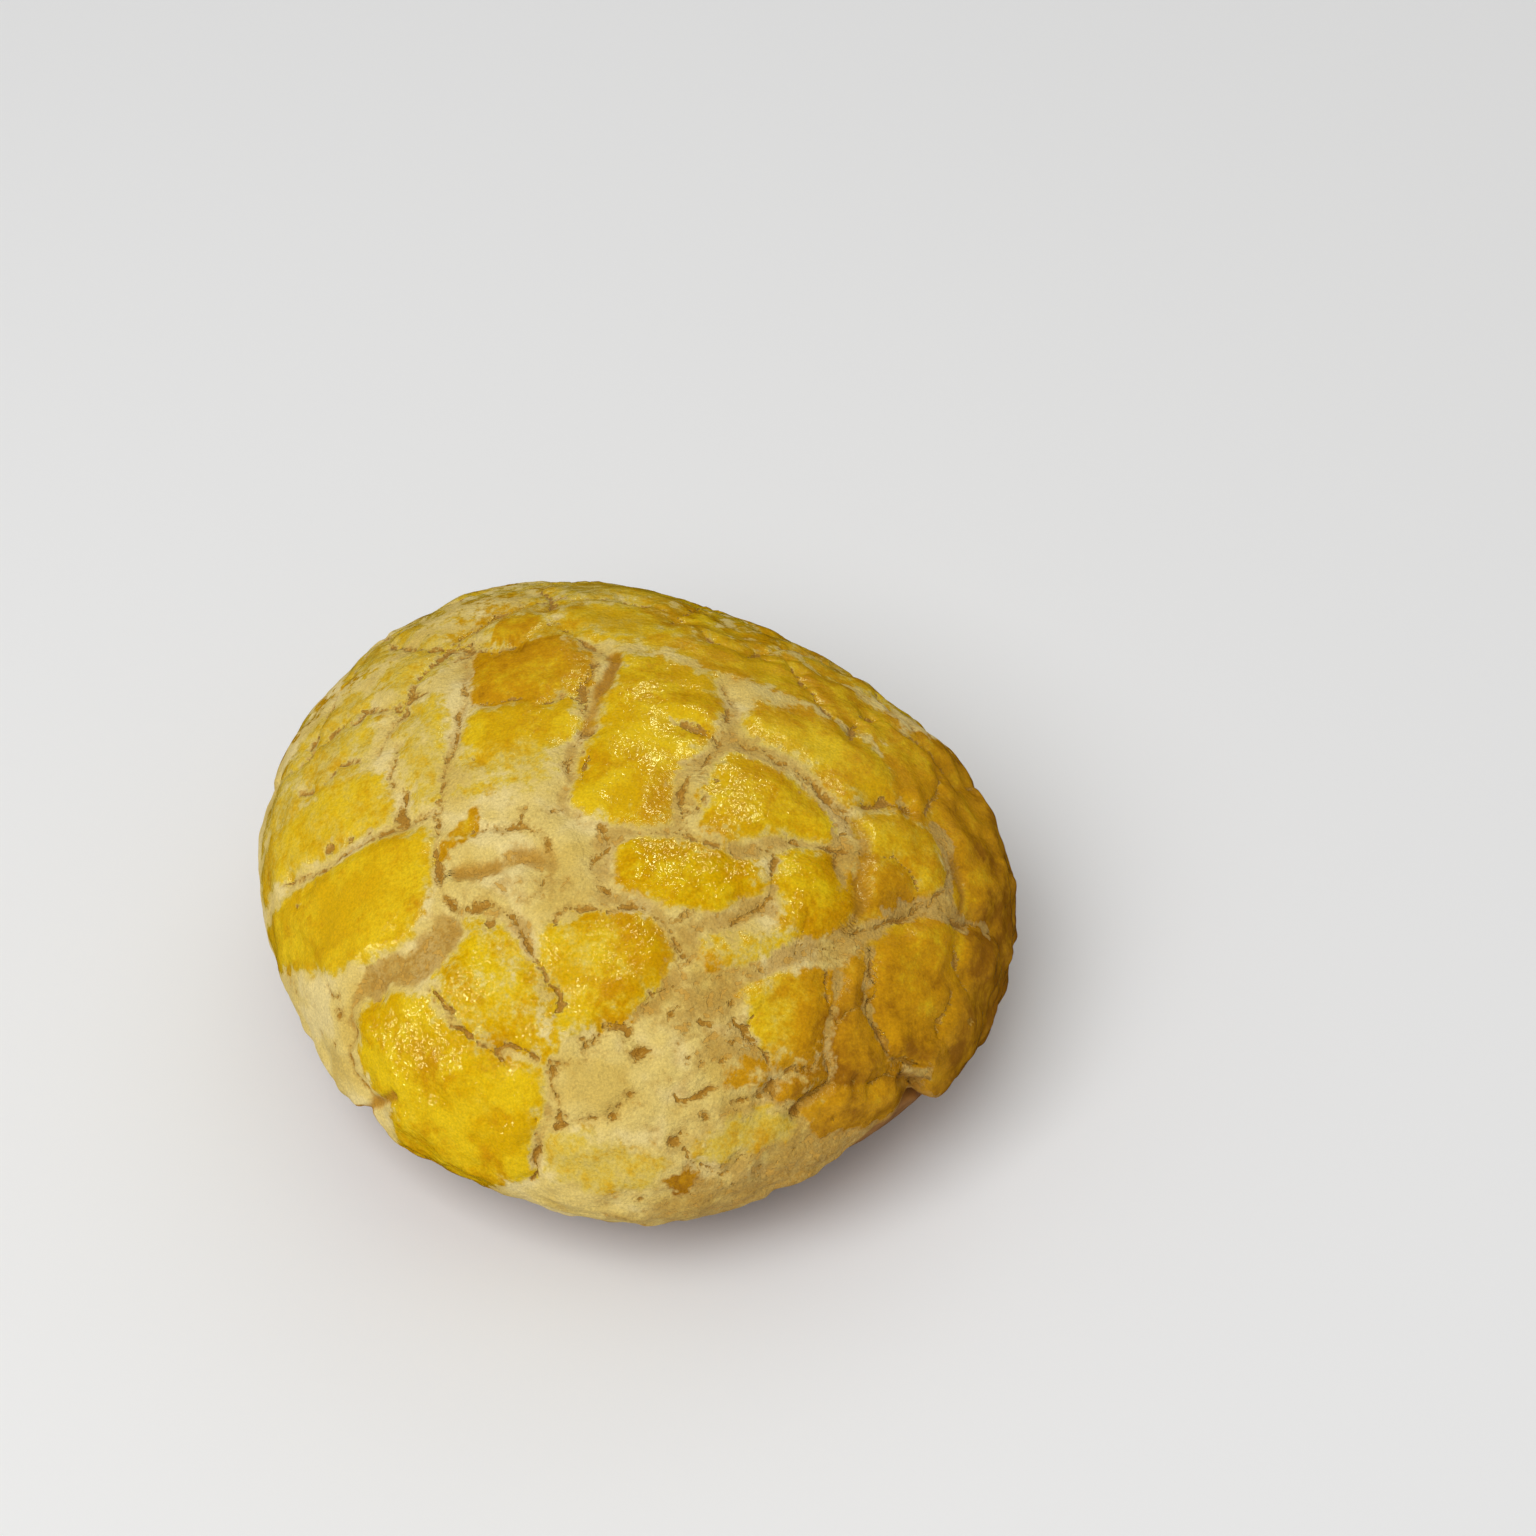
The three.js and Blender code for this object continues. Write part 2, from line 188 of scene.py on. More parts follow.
# %% Cracks of the upper right
UPPER_RIGHT_CRACKS = [
    # upper right
    (0.35, 1.0, 0.3, [
        (9.7, -0.7), (12.7, -1.7), (15, -3), (17, -3), (18.5, -4.5), (20.7, -6), (22.5, -7.5),
    ]),
    (0.32, 1.0, 0.3, [(22.5, -7.5), (24, -9.7), (23, -12), (22.5, -13.3), (23.3, -15.7), (24.7, -17.8)]),
    (0.40, 1.0, 0.2, [(22.5, -7.5), (26, -6.5), (28.5, -5.3), (33, -4.5), (35, -4)]),
    (0.25, 0.7, 0.2, [(35, -4), (36.7, -1.7), (38, 0.5), (38.5, 4)]),
    # under the middle tile
    (0.36, 0.9, 0.3, [(-1.3, -12), (1.3, -12.7), (3.3, -12.7), (5.7, -12.3)]),
    (0.22, 0.7, 0.1, [(5.7, -12.3), (8.7, -13.8), (11.7, -15.3)]),
    (0.32, 0.8, 0.3, [(14, -13.8), (17.3, -12.8), (19.3, -12.7), (22.3, -12.8), (24.7, -12.5)]),
    (0.20, 0.6, 0.3, [(14, -14), (15.6, -15), (15.7, -18), (16, -20)]),
    (0.30, 0.9, 0.2, [
        (-0.7, -12.7), (-0.5, -14.3), (-1.8, -16.3), (-1.7, -18.7), (-0.7, -20.7), (0.5, -21.8),
    ]),
    (0.14, 0.4, 0.3, [(-12, -13.2), (-9.7, -12.7), (-7.3, -13.8)]),
    (0.14, 0.4, 0.1, [(-9.7, -12.7), (-9.2, -10.6)]),
    (0.14, 0.4, 0.1, [(-6.7, -14.5), (-6.7, -15.5)]),
    (0.16, 0.5, 0.1, [(-7, -19), (-7.3, -21)]),
    (0.14, 0.4, 0.1, [(-15.7, -2.7), (-14, -3.3)]),
    (0.14, 0.4, 0.2, [(-16, -13), (-13.8, -12.4)]),
]
print(len(UPPER_RIGHT_CRACKS), "cracks")

# %% Cracks of the left side
LEFT_CRACKS = [
    (0.28, 0.9, 0.55, [(-50, -9.3), (-46, -10), (-43.3, -11.3), (-38.7, -11.5), (-35.7, -10.7)]),
    (0.24, 0.9, 0.35, [
        (-35.7, -10.7), (-31.7, -11), (-29, -9.8), (-25.7, -10), (-23, -9.3), (-20.5, -9.5),
    ]),
    (0.20, 0.6, 0.2, [(-44.3, -12.7), (-42.3, -12.7)]),
    (0.26, 0.8, 0.4, [(-26, 7), (-27.3, 4), (-28.3, 2.7)]),
    (0.28, 0.8, 0.3, [(-25.3, 2.7), (-26.2, 0), (-27, -2), (-26.8, -3.2)]),
    (0.60, 0.9, 0.25, [(-25.2, -4.7), (-25.3, -6.3), (-26.2, -8.5), (-25.3, -10)]),
    (0.18, 0.6, 0.3, [(-24.7, 10), (-22.7, 10.3), (-21.3, 10.3)]),
    (0.18, 0.5, 0.4, [(-36, 12), (-33, 10.5), (-30.5, 11)]),
    (0.18, 0.5, 0.5, [(-43, 3), (-39, 2), (-35, 3.5), (-31, 2.8)]),
]
print(len(LEFT_CRACKS), "cracks")

# %% Cracks of the lower left
LOWER_LEFT_CRACKS = [
    # between the two glinting tiles at the lower left
    (0.24, 0.9, 0.2, [(-18, -22.5), (-12, -22.5), (-9.5, -25), (-8.7, -28)]),
    (0.34, 1.1, 0.15, [(-8.7, -28), (-7.2, -30.7), (-5.7, -32.7), (-5.5, -34), (-6.3, -35.3)]),
    (0.16, 0.5, 0.3, [(-6, -24.5), (-5, -22.5), (-2, -22.3), (0.5, -21.8), (3, -21.5)]),
    (0.26, 0.8, 0.5, [(3, -21.5), (5, -23.7), (6.7, -26.7), (7.7, -28)]),
    (0.22, 0.7, 0.3, [(6.3, -29.5), (6.3, -31), (3.8, -32.5)]),
    (0.16, 0.5, 0.4, [(3.8, -32.5), (3.3, -34.8), (1.5, -37.3)]),
    (0.34, 1.0, 0.1, [
        (-3.7, -37.7), (-2.7, -38.7), (-1.5, -37.3), (-0.8, -36.5), (1.3, -37.3), (1.5, -39.3),
        (3, -40.2), (4.3, -39.7),
    ]),
    (0.16, 0.6, 0.1, [(-2.7, -38.7), (-2.8, -41.3)]),
    (0.34, 1.4, 0.05, [(-21.7, -33.2), (-20, -34.5), (-18.7, -35.5)]),
    (0.42, 1.5, 0.0, [(-19.2, -37.2), (-17.7, -38), (-16, -39.7), (-14.3, -40.8), (-13, -42.3)]),
    (0.38, 1.4, 0.05, [
        (-14, -40.8), (-12.7, -40), (-10.7, -40.3), (-8.7, -41.2), (-6.8, -41.7), (-5.3, -41.8),
    ]),
    (0.42, 1.2, 0.15, [
        (-7, -42), (-7.2, -46), (-6.3, -47.5), (-6.5, -49.7), (-6.3, -51.3), (-7.7, -51.8),
    ]),
    (0.42, 1.2, 0.2, [
        (-9.8, -50.3), (-10.3, -53), (-10.2, -55.3), (-11.5, -57.7), (-11.3, -59.7), (-13, -62),
    ]),
    (0.24, 0.8, 0.2, [(-4.3, -50.2), (-2.3, -50.2), (-1, -49.3), (0.5, -49.3), (1.3, -47.3)]),
]
print(len(LOWER_LEFT_CRACKS), "cracks")

# %% Cracks of the lower middle
LOWER_MIDDLE_CRACKS = [
    (0.22, 0.7, 0.15, [(7.7, -45.8), (8.3, -46.7), (9.7, -46.5), (11.3, -45.3), (12.7, -44.5)]),
    (0.32, 0.7, 0.1, [(6.3, -35.2), (7.2, -33.8)]),
    (0.50, 0.7, 0.1, [(9.7, -35.7), (11.2, -36.3)]),
    (0.22, 0.6, 0.1, [(7.3, -39), (8.5, -38)]),
    (0.34, 1.2, 0.1, [
        (13.3, -35.5), (15, -36.7), (15.7, -37.7), (17, -39), (18.5, -40.2), (18.8, -41.7), (19.7, -43),
        (19.7, -45),
    ]),
    (0.26, 0.9, 0.2, [(16, -34), (15.5, -36), (15.7, -37.7)]),
    (0.26, 0.9, 0.2, [
        (15, -47), (17, -46.7), (18.7, -46), (20, -45.5), (20.8, -46.7), (22, -47.5), (25.2, -49.7),
    ]),
    (0.24, 0.8, 0.2, [(21.5, -42.8), (23, -42.2), (25, -42)]),
]
print(len(LOWER_MIDDLE_CRACKS), "cracks")

# %% Cracks of the right side
RIGHT_CRACKS = [
    (0.20, 0.8, 0.2, [
        (24.3, -28.5), (24.7, -31), (25.7, -33.2), (26.7, -35.7), (25.7, -38), (26, -39.5), (27.3, -40.7),
        (28.2, -42.7),
    ]),
    (0.42, 1.3, 0.1, [(25.2, -49.7), (24.5, -47.3), (26, -45.7), (27.7, -44.3)]),
    (0.26, 1.0, 0.1, [
        (27.7, -44.3), (29.3, -43.7), (32, -43.2), (35, -43.2), (36.7, -42.2), (38.7, -41.7), (41, -41.5),
    ]),
    (0.26, 1.3, 0.0, [
        (29.3, -24.3), (29.7, -27.3), (31.5, -30), (31, -32.3), (33, -34.7), (35, -36.3), (36.3, -38.3),
        (38, -39.5), (40, -39), (42.7, -39.2),
    ]),
    (0.16, 0.5, 0.2, [(31, -32.3), (28.3, -33), (27.5, -34.5)]),
    (0.24, 0.9, 0.3, [(25.7, -24.5), (28, -22.5), (30.5, -21), (33, -19.5), (35.5, -17.5), (38.5, -17)]),
    (0.26, 0.9, 0.2, [(38.5, -17), (43.3, -17.2), (46.7, -15.8), (50.3, -15.7), (52.3, -15)]),
    (0.20, 0.7, 0.4, [(36.7, -6.7), (38.8, -8.5), (39.7, -11.7), (38.3, -14.3), (36.3, -17)]),
    (0.16, 0.5, 0.4, [(25, -12.7), (28.3, -12.5), (31.5, -12.5), (33.7, -14.3), (35, -17)]),
    (0.26, 0.9, 0.2, [(43.7, -20.7), (45, -23.7), (46.7, -25.3), (49, -26.7)]),
    (0.26, 0.9, 0.2, [(44.3, -27), (44.3, -29.7), (43, -32.3), (44.3, -34.5)]),
    (0.20, 0.7, 0.1, [(47.3, -35.3), (48.3, -36.3)]),
    (0.24, 0.7, 0.4, [(10, -23.7), (11.7, -23.7), (13, -22.2), (15, -21.3), (16, -20)]),
    (0.18, 0.5, 0.2, [(7, -23), (8, -22.3)]),
    (0.20, 0.7, 0.4, [
        (13.7, -29.7), (16, -29), (18, -28.3), (19.3, -27.5), (20, -24.3), (22.3, -25.3), (25, -25.3),
    ]),
    (0.18, 0.6, 0.3, [(20, -22), (20.3, -24.3)]),
]
print(len(RIGHT_CRACKS), "cracks")

# %% Cracks of the bottom
BOTTOM_CRACKS = [
    (0.20, 0.7, 0.1, [(9.3, -51.3), (8.6, -52.4)]),
    (0.20, 0.8, 0.05, [(9.7, -54.3), (10.2, -56), (11.7, -56.8), (13.3, -57.8), (14.3, -58.8)]),
    (0.18, 0.6, 0.1, [(16.2, -57), (16.4, -58.2), (15.4, -59.2), (16.4, -59.6)]),
    (0.16, 0.5, 0.1, [(18, -56), (17.7, -57.2)]),
    (0.16, 0.5, 0.1, [(21.5, -58), (22.2, -59), (21.3, -59.6)]),
    (0.14, 0.4, 0.3, [(-43.3, -29.7), (-41.3, -31.7), (-40, -31.5)]),
    (0.14, 0.4, 0.2, [(-41.5, -33.7), (-40.2, -33.7)]),
    (0.20, 0.6, 0.55, [
        (-39, -37), (-40.7, -39.2), (-41.7, -40.3), (-42, -42), (-41.5, -44), (-40.3, -46.7),
        (-39.7, -48),
    ]),
]
print(len(BOTTOM_CRACKS), "cracks")

# %% All of the front
FRONT_CRACKS = (
    UPPER_CRACKS + UPPER_RIGHT_CRACKS + LEFT_CRACKS + LOWER_LEFT_CRACKS
    + LOWER_MIDDLE_CRACKS + RIGHT_CRACKS + BOTTOM_CRACKS
)
# (radius, depth, u, v) of single holes in the crust
FRONT_HOLES = [
    (0.8, 1.0, -38, -8.7), (1.0, 1.3, 3, -40.2), (0.7, 1.1, 0, -49.3), (0.5, 0.8, 2.2, -45.7),
    (0.45, 0.7, 13, -33.2), (0.4, 0.6, 8.7, -40.7), (0.55, 0.8, 10.5, -41.3), (0.6, 0.8, 12.8, -41),
    (0.5, 0.7, 13.8, -38.3), (0.6, 0.9, 11.5, -49), (0.9, 1.4, 19.7, -45), (1.1, 1.2, 8.2, -53.3),
    (0.5, 0.6, -55.7, -26.3), (0.4, 0.5, -50.8, -35.7), (0.45, 0.6, -44.7, -38.5),
    (0.6, 0.9, -13.5, -24.5), (1.3, 2.0, 45, -41.8), (0.5, 0.8, 49.5, -30.5), (0.5, 0.7, 30.6, -49.2),
    (0.35, 0.5, 26, -55), (0.35, 0.5, 18, -61), (0.35, 0.5, 4, -64), (0.6, 0.9, -41, -34.5),
    (0.5, 0.8, -34.5, -9), (0.5, 0.8, -31, -8.8), (0.4, 0.6, 6.5, -31.2), (0.5, 0.9, -47.5, -14.5),
]
print("front:", len(FRONT_CRACKS), "cracks,", len(FRONT_HOLES), "holes")

# %% [markdown]
# The back tore in the same way, so a rule lays its seams out instead of a list: seams run down the bun about
# thirty degrees apart, and shorter ones cross between them, like bricks.

# %% Crack routes on the back
BACK_COLUMNS, FIRST_AZIMUTH, AZIMUTH_STEP = 6, 14, 30
# millimetres from the top: the corners of a column, and the rows of cross seams
COLUMN_CORNERS, CROSS_ROWS = (24, 34, 45, 56, 67), (25, 42, 58)
# (half width, depth, brokenness)
COLUMN_CRACK, CROSS_CRACK = (0.32, 1.0, 0.3), (0.30, 0.9, 0.3)
# how far a column's corner strays in degrees and in millimetres, a row, and a corner of a cross seam
COLUMN_TURNS, COLUMN_SLIDES, ROW_SLIDES, CROSS_SLIDES = 12, 3, 9, 5
SCATTER_STEP = 12.9898


def scatter(n):
    """A number from 0 to 1 for each whole number: the fraction of a large multiple of a sine."""
    s = np.sin(n * SCATTER_STEP) * SINE_MULTIPLE
    return float(s - np.floor(s))


def stray(n, size):
    """A shift of up to half of size to either side."""
    return (scatter(n) - 0.5) * size


def on_disc(azimuth, rho):
    """A corner of a route from its azimuth in degrees and its distance from the top."""
    return flat(rho, np.radians(azimuth))


def back_column(i, azimuth):
    """The route of one seam down the bun."""
    route = []
    for k, rho in enumerate(COLUMN_CORNERS):
        turned = azimuth + stray(10 * i + k, COLUMN_TURNS)
        route.append(on_disc(turned, rho + stray(90 + 10 * i + k, COLUMN_SLIDES)))
    return route


def back_cross(i, azimuth, k, rho):
    """The route of one cross seam, from a column to the next one."""
    rise = rho + stray(200 + 10 * i + k, ROW_SLIDES)
    route = []
    for m, share in enumerate((0, 0.5, 1)):
        slide = stray(300 + 30 * i + 3 * k + m, CROSS_SLIDES)
        route.append(on_disc(azimuth + share * AZIMUTH_STEP, rise + slide))
    return route


def back_cracks():
    """Columns of seams from near the top to near the edge, and three rows of cross seams between them."""
    found = []
    for i in range(BACK_COLUMNS):
        azimuth = FIRST_AZIMUTH + i * AZIMUTH_STEP
        found.append((*COLUMN_CRACK, back_column(i, azimuth)))
        if i < BACK_COLUMNS - 1:
            found += [(*CROSS_CRACK, back_cross(i, azimuth, k, rho)) for k, rho in enumerate(CROSS_ROWS)]
    return found


BACK_CRACKS = back_cracks()
print("back:", len(BACK_CRACKS), "cracks")

# %% [markdown]
# A route of corners becomes a crack in three steps: a smooth line through the corners, the same line pushed
# sideways by noise, and a width that opens and closes along it.

# %% Rough routes
STEP = 0.5
# how far steps are pushed aside, over which lengths in millimetres, and the finer noise's share
RAGGED, SIDE_LENGTHS, SIDE_SHARE = 0.4, (2.2, 1.3), 0.6
# over which lengths a crack opens and closes, and the finer noise's share
GATE_LENGTHS, GATE_SHARE = (2.0, 1.2), 0.5
# the shares of the width and depth written down that are cut; the finish's ragged edge adds the rest
WIDTHS, DEPTHS = 0.85, 0.34
# half widths as shares of the crack's own: on average, less if broken, more by noise, at most, at its ends
ON_AVERAGE, LESS_IF_BROKEN, MORE_BY_NOISE, AT_MOST, AT_ENDS = 0.8, 2.0, 1.5, 1.6, 0.25


def bent(route):
    """The route as a smooth line: each stretch between two corners is a cubic that leaves a corner in the
    direction of its two neighbours, cut into steps of about half a millimetre."""
    p = np.array(route, float)
    p = np.vstack([2 * p[0] - p[1], p, 2 * p[-1] - p[-2]])
    line = []
    for a, b, c, d in zip(p[:-3], p[1:-2], p[2:-1], p[3:]):
        t = np.linspace(0, 1, max(2, int(np.linalg.norm(c - b) / STEP)), endpoint=False)[:, None]
        line.append(b + 0.5 * t * (c - a + t * (2 * a - 5 * b + 4 * c - d + t * (3 * (b - c) + d - a))))
    return np.vstack([*line, p[-2:-1]])


def ragged(line, seed):
    """The line with each step pushed sideways by RAGGED times noise over 2.2 mm, with some over 1.3 mm."""
    along = np.concatenate([[0], np.cumsum(np.linalg.norm(np.diff(line, axis=0), axis=1))])
    key = np.stack([along, np.full_like(along, 17.3 * seed)], -1)
    side = np.gradient(line, axis=0)[:, ::-1] * (-1, 1)
    side /= np.linalg.norm(side, axis=1, keepdims=True)
    coarse, fine = SIDE_LENGTHS
    push = RAGGED * (hills(key, coarse, seed) + SIDE_SHARE * hills(key, fine, seed + 50))
    return line + side * push[:, None], along


def half_widths(along, half, broken, seed):
    """Half the width at each step: noise over 2 mm and 1.2 mm opens and closes the crack, the more it is
    broken the more of it stays shut, and it tapers over the last millimetre or so at both ends."""
    key = np.stack([along, np.full_like(along, 9.1 * seed)], -1)
    coarse, fine = GATE_LENGTHS
    gate = hills(key, coarse, seed + 7) + GATE_SHARE * hills(key, fine, seed + 9)
    w = half * np.minimum(ON_AVERAGE - LESS_IF_BROKEN * broken + MORE_BY_NOISE * gate, AT_MOST)
    ends = np.minimum(along, along[-1] - along)
    return np.minimum(w, half * (AT_ENDS + ends))


def crack_lines(cracks, first_seed):
    """Each crack as its rough line, half width at each step, and depth."""
    made = []
    for k, (half, depth, broken, route) in enumerate(cracks):
        line, along = ragged(bent(route), first_seed + k)
        made.append((line, half_widths(along, WIDTHS * half, broken, first_seed + k), DEPTHS * depth))
    return made


FRONT_SEED, BACK_SEED = 1, 200
LINES = crack_lines(FRONT_CRACKS, FRONT_SEED) + crack_lines(BACK_CRACKS, BACK_SEED)
print("crack length in mm:", round(sum(len(line) for line, _, _ in LINES) * STEP))

# %% [markdown]
# Each point of the crust needs its distance to the nearest crack. It is found crack by crack, step by step,
# for all the points near that crack at once, and the smallest distance is kept. Less the half width, it is
# the distance to the crack's edge: negative inside, positive outside.

# %% Distance to lines
# no crack is farther than FAR, and a crack is looked for within CRACK_REACH of its line
FAR, CRACK_REACH = 12.0, 9.0
# a cut fades in between these distances from the crack's edge, a hole's from its own edge
CUT_FADE, HOLE_FADE = (0.15, -0.2), (0.2, -0.4)
# a crack counts as open from the first to the second half width
OPEN_FROM = (-0.1, 0.15)
# where a crack is shut, the tiles beside it round off less: its middle counts as this much farther away
SHUT_AWAY, HOLE_AWAY, HOLE_UNEVEN = 1.5, 2.0, 0.25


def near_line(uv, line, reach):
    """For the points within reach of the line's box: their places in uv, their distance to the line, how
    far along it the nearest point is, counted in steps, and that nearest point."""
    low, high = line.min(0) - reach, line.max(0) + reach
    found = np.flatnonzero(((uv > low) & (uv < high)).all(1))
    p = uv[found]
    best = np.full(len(p), np.inf)
    where = np.zeros(len(p))
    nearest = p.copy()
    for k, (start, span) in enumerate(zip(line[:-1], np.diff(line, axis=0))):
        t = np.clip((p - start) @ span / (span @ span), 0, 1)
        foot = start + t[:, None] * span
        d = np.linalg.norm(p - foot, axis=1)
        closer = d < best
        best = np.where(closer, d, best)
        where = np.where(closer, k + t, where)
        nearest[closer] = foot[closer]
    return found, best, where, nearest


def crack_fields(uv):
    """Distance to the nearest crack's middle, distance to the nearest crack's edge, and the deepest cut. The
    cut is full 0.2 mm inside the edge of a crack and gone 0.15 mm outside it."""
    middle = np.full(len(uv), FAR)
    edge = np.full(len(uv), FAR)
    cut = np.zeros(len(uv))
    for line, half, depth in LINES:
        found, d, where, _ = near_line(uv, line, CRACK_REACH)
        w = np.interp(where, np.arange(len(half)), half)
        open_share = ramp(*OPEN_FROM, w)
        middle[found] = np.minimum(middle[found], d + SHUT_AWAY * (1 - open_share))
        edge[found] = np.minimum(edge[found], d - w)
        cut[found] = np.maximum(cut[found], depth * open_share * ramp(*CUT_FADE, d - w))
    for radius, depth, u, v in FRONT_HOLES:
        uneven = 1 + HOLE_UNEVEN * hills(uv, 0.9, 11)
        d = np.linalg.norm(uv - (u, v), axis=1) * uneven - WIDTHS * radius
        middle = np.minimum(middle, np.maximum(d + radius, 0) + HOLE_AWAY)
        edge = np.minimum(edge, d)
        cut = np.maximum(cut, DEPTHS * depth * ramp(*HOLE_FADE, d))
    return middle, edge, cut


_, top_edge, _ = crack_fields(np.zeros((1, 2)))
print("from the top of the bun to the nearest crack in mm:", top_edge.round(1))

# %% [markdown]
# The mesh needs its smallest faces where it is cut, and cracks cover little of it. So points near a crack
# are drawn towards it, which costs nothing, instead of making the whole grid finer.

# %% Points drawn towards the cracks
DRAW_REACH, DRAW_SHARE = 2.0, 0.25


def drawn_to_cracks(uv):
    """Points near a crack move towards it, so that the mesh is finest where the surface is cut: a distance d
    within the reach becomes d times (share + (1 - share) d / reach)."""
    moved = uv.copy()
    best = np.full(len(uv), DRAW_REACH)
    for line, _, _ in LINES:
        found, d, _, nearest = near_line(uv, line, DRAW_REACH)
        take = d < best[found]
        closer, foot = found[take], nearest[take]
        share = DRAW_SHARE + (1 - DRAW_SHARE) * d[take] / DRAW_REACH
        moved[closer] = foot + (uv[closer] - foot) * share[:, None]
        best[closer] = d[take]
    return moved


print("points up to", DRAW_REACH, "mm from a crack move in, to", DRAW_SHARE, "of their distance at the least")

# %% [markdown]
# ## Stretched dough and folds
# Between some tiles the dough stretched instead of tearing, and shows as a broad, slightly sunken tan band.
# In a few places it folded over itself: a soft deep valley, browned inside, with the valley's shade painted
# into that brown.

# %% Tan bands and folds
# (half width, tan from 0 to 1, sunk by, route)
TAN_BANDS = [
    (2.3, 1.25, 0.7, [(-19.5, -25.3), (-21.3, -27.3), (-24.7, -29.5), (-28.7, -30), (-32.5, -31)]),
    (0.9, 0.66, 0.4, [(-32.5, -31), (-34.5, -32), (-36.7, -33)]),
    (0.9, 0.57, 0.4, [(-37, -33), (-38.8, -35), (-39.3, -37)]),
    (1.1, 0.61, 0.3, [(-13.5, -22.8), (-10.6, -23.8), (-9.2, -26.5), (-9, -28)]),
    (0.8, 0.57, 0.3, [(11.3, 8.3), (11.2, 4), (10.4, 0), (8.7, -2.6), (7, -4.4), (5.4, -7), (5.8, -11.6)]),
    (1.1, 0.49, 0.3, [
        (9.6, -1), (12.7, -1.9), (16, -3.4), (20, -6), (22.8, -8.8), (23.3, -12.4), (24.3, -17),
    ]),
    (0.7, 0.49, 0.3, [(-4.4, -2), (-4.6, -6), (-5.2, -9.5), (-2, -12), (2, -12.9), (5.7, -12.5)]),
    (0.8, 0.57, 0.3, [(11.5, -14.8), (14, -14.2), (18, -12.9), (24, -12.6)]),
    (1.1, 0.61, 0.35, [(-0.6, -13), (-1.2, -17), (-0.7, -20.5), (3, -21.8), (5.8, -24), (7.8, -27.5)]),
    (1.0, 0.66, 0.35, [(7, -29), (6, -32), (3.6, -34.5)]),
    (1.3, 0.61, 0.35, [(8, -23.5), (11, -23), (14, -21.6), (16.4, -20.6)]),
    (1.1, 0.61, 0.35, [(9.6, -30.3), (13, -30.2), (17, -28.4), (20, -26.4), (25, -25.2)]),
    (1.6, 0.7, 0.4, [(25.3, -24.2), (28, -22.2), (31, -20.4), (34, -18.2), (37, -17)]),
    (1.0, 0.49, 0.3, [(37, -17), (43.3, -16.9), (47, -15.6), (52.3, -15)]),
    (1.3, 0.49, 0.2, [(36.7, -5), (39.3, -8.5), (40.3, -12), (38.8, -15.6)]),
    (0.7, 0.49, 0.2, [(-20.6, -17.5), (-19.6, -21), (-17, -23.2)]),
    (0.6, 0.41, 0.2, [(-16.6, 16), (-16, 8), (-18, 1), (-20, -6)]),
    (0.7, 0.45, 0.2, [(-45.5, -10.4), (-38, -10.8), (-31, -9.9), (-22, -9.3)]),
    (0.9, 0.85, 0.2, [(-17.3, -18.3), (-14, -18), (-11, -16.3), (-6, -17.3)]),
    (0.6, 0.49, 0.1, [(-13.3, -20.3), (-11.3, -20.6)]),
    (0.8, 0.41, 0.2, [(-7.3, -43.5), (-7.2, -47), (-8.2, -50.5), (-10.4, -54), (-11.4, -58.6)]),
    (0.6, 0.41, 0.2, [(26.4, -29), (26.2, -34), (26.6, -39), (28.6, -43)]),
    (0.7, 0.41, 0.2, [(29.6, -25), (30.6, -31), (34.4, -36.6), (38, -40), (43, -40)]),
]
# (half width, browning with the painted shade of the valley from 0 to 1, sunk by, route)
FOLDS = [
    (0.5, 0.7, 0.8, [(-1.0, 11.4), (-0.9, 9.4), (-1.3, 7), (-1.9, 4.4)]),
    (0.6, 0.4, 0.5, [(-1.9, 4.4), (-2.4, 1.5), (-3.2, -0.5)]),
    (0.9, 0.55, 0.9, [(26, -16), (26.8, -18.2), (26.6, -20.6), (25.6, -22.8)]),
    (0.8, 0.4, 0.6, [(24.6, -9), (26.3, -12), (26.2, -15.6)]),
    (0.9, 0.55, 0.6, [(-33.3, -47.7), (-36.7, -48.8), (-40, -49.3), (-43.7, -50.7)]),
    (1.0, 0.9, 1.3, [(40.6, -41.8), (43, -41.9), (45.3, -42.3), (46.6, -43)]),
    (0.8, 0.5, 0.6, [(24.6, -48.6), (26, -46), (28, -44.4)]),
    (0.7, 0.5, 0.5, [(40.3, -9), (42.6, -12), (43.6, -15.6)]),
    (0.8, 0.3, 0.7, [(-17.6, -17.9), (-14.8, -17.6), (-12, -17.2), (-9, -16), (-6.4, -16)]),
]
# (u, v, half length, half width, turned by degrees, tan)
TAN_SPOTS = [
    (-10, -20, 9.5, 3.0, 8, 0.38), (9, -33, 6.0, 5.0, 20, 0.6), (12.5, -38.5, 5.0, 3.0, -10, 0.5),
    (-3, -21.6, 3, 1.6, 0, 0.4), (14, -31.5, 5, 2.5, 0, 0.5), (12.8, -60.6, 2.2, 1.5, 0, 0.9),
    (22, -45, 5, 2, 20, 0.5), (-9, -48.6, 2, 1.6, 0, 0.6), (20.8, -17.5, 2, 3, 0, 0.3),
    (40.5, -16.5, 4, 1.6, 0, 0.6), (33, -57, 20, 5.5, 35, 0.75), (52, -44, 9, 5, 30, 0.8),
    (13, -64, 3, 2, 0, 0.8), (2, -33.5, 2, 3, 0, 0.5),
]
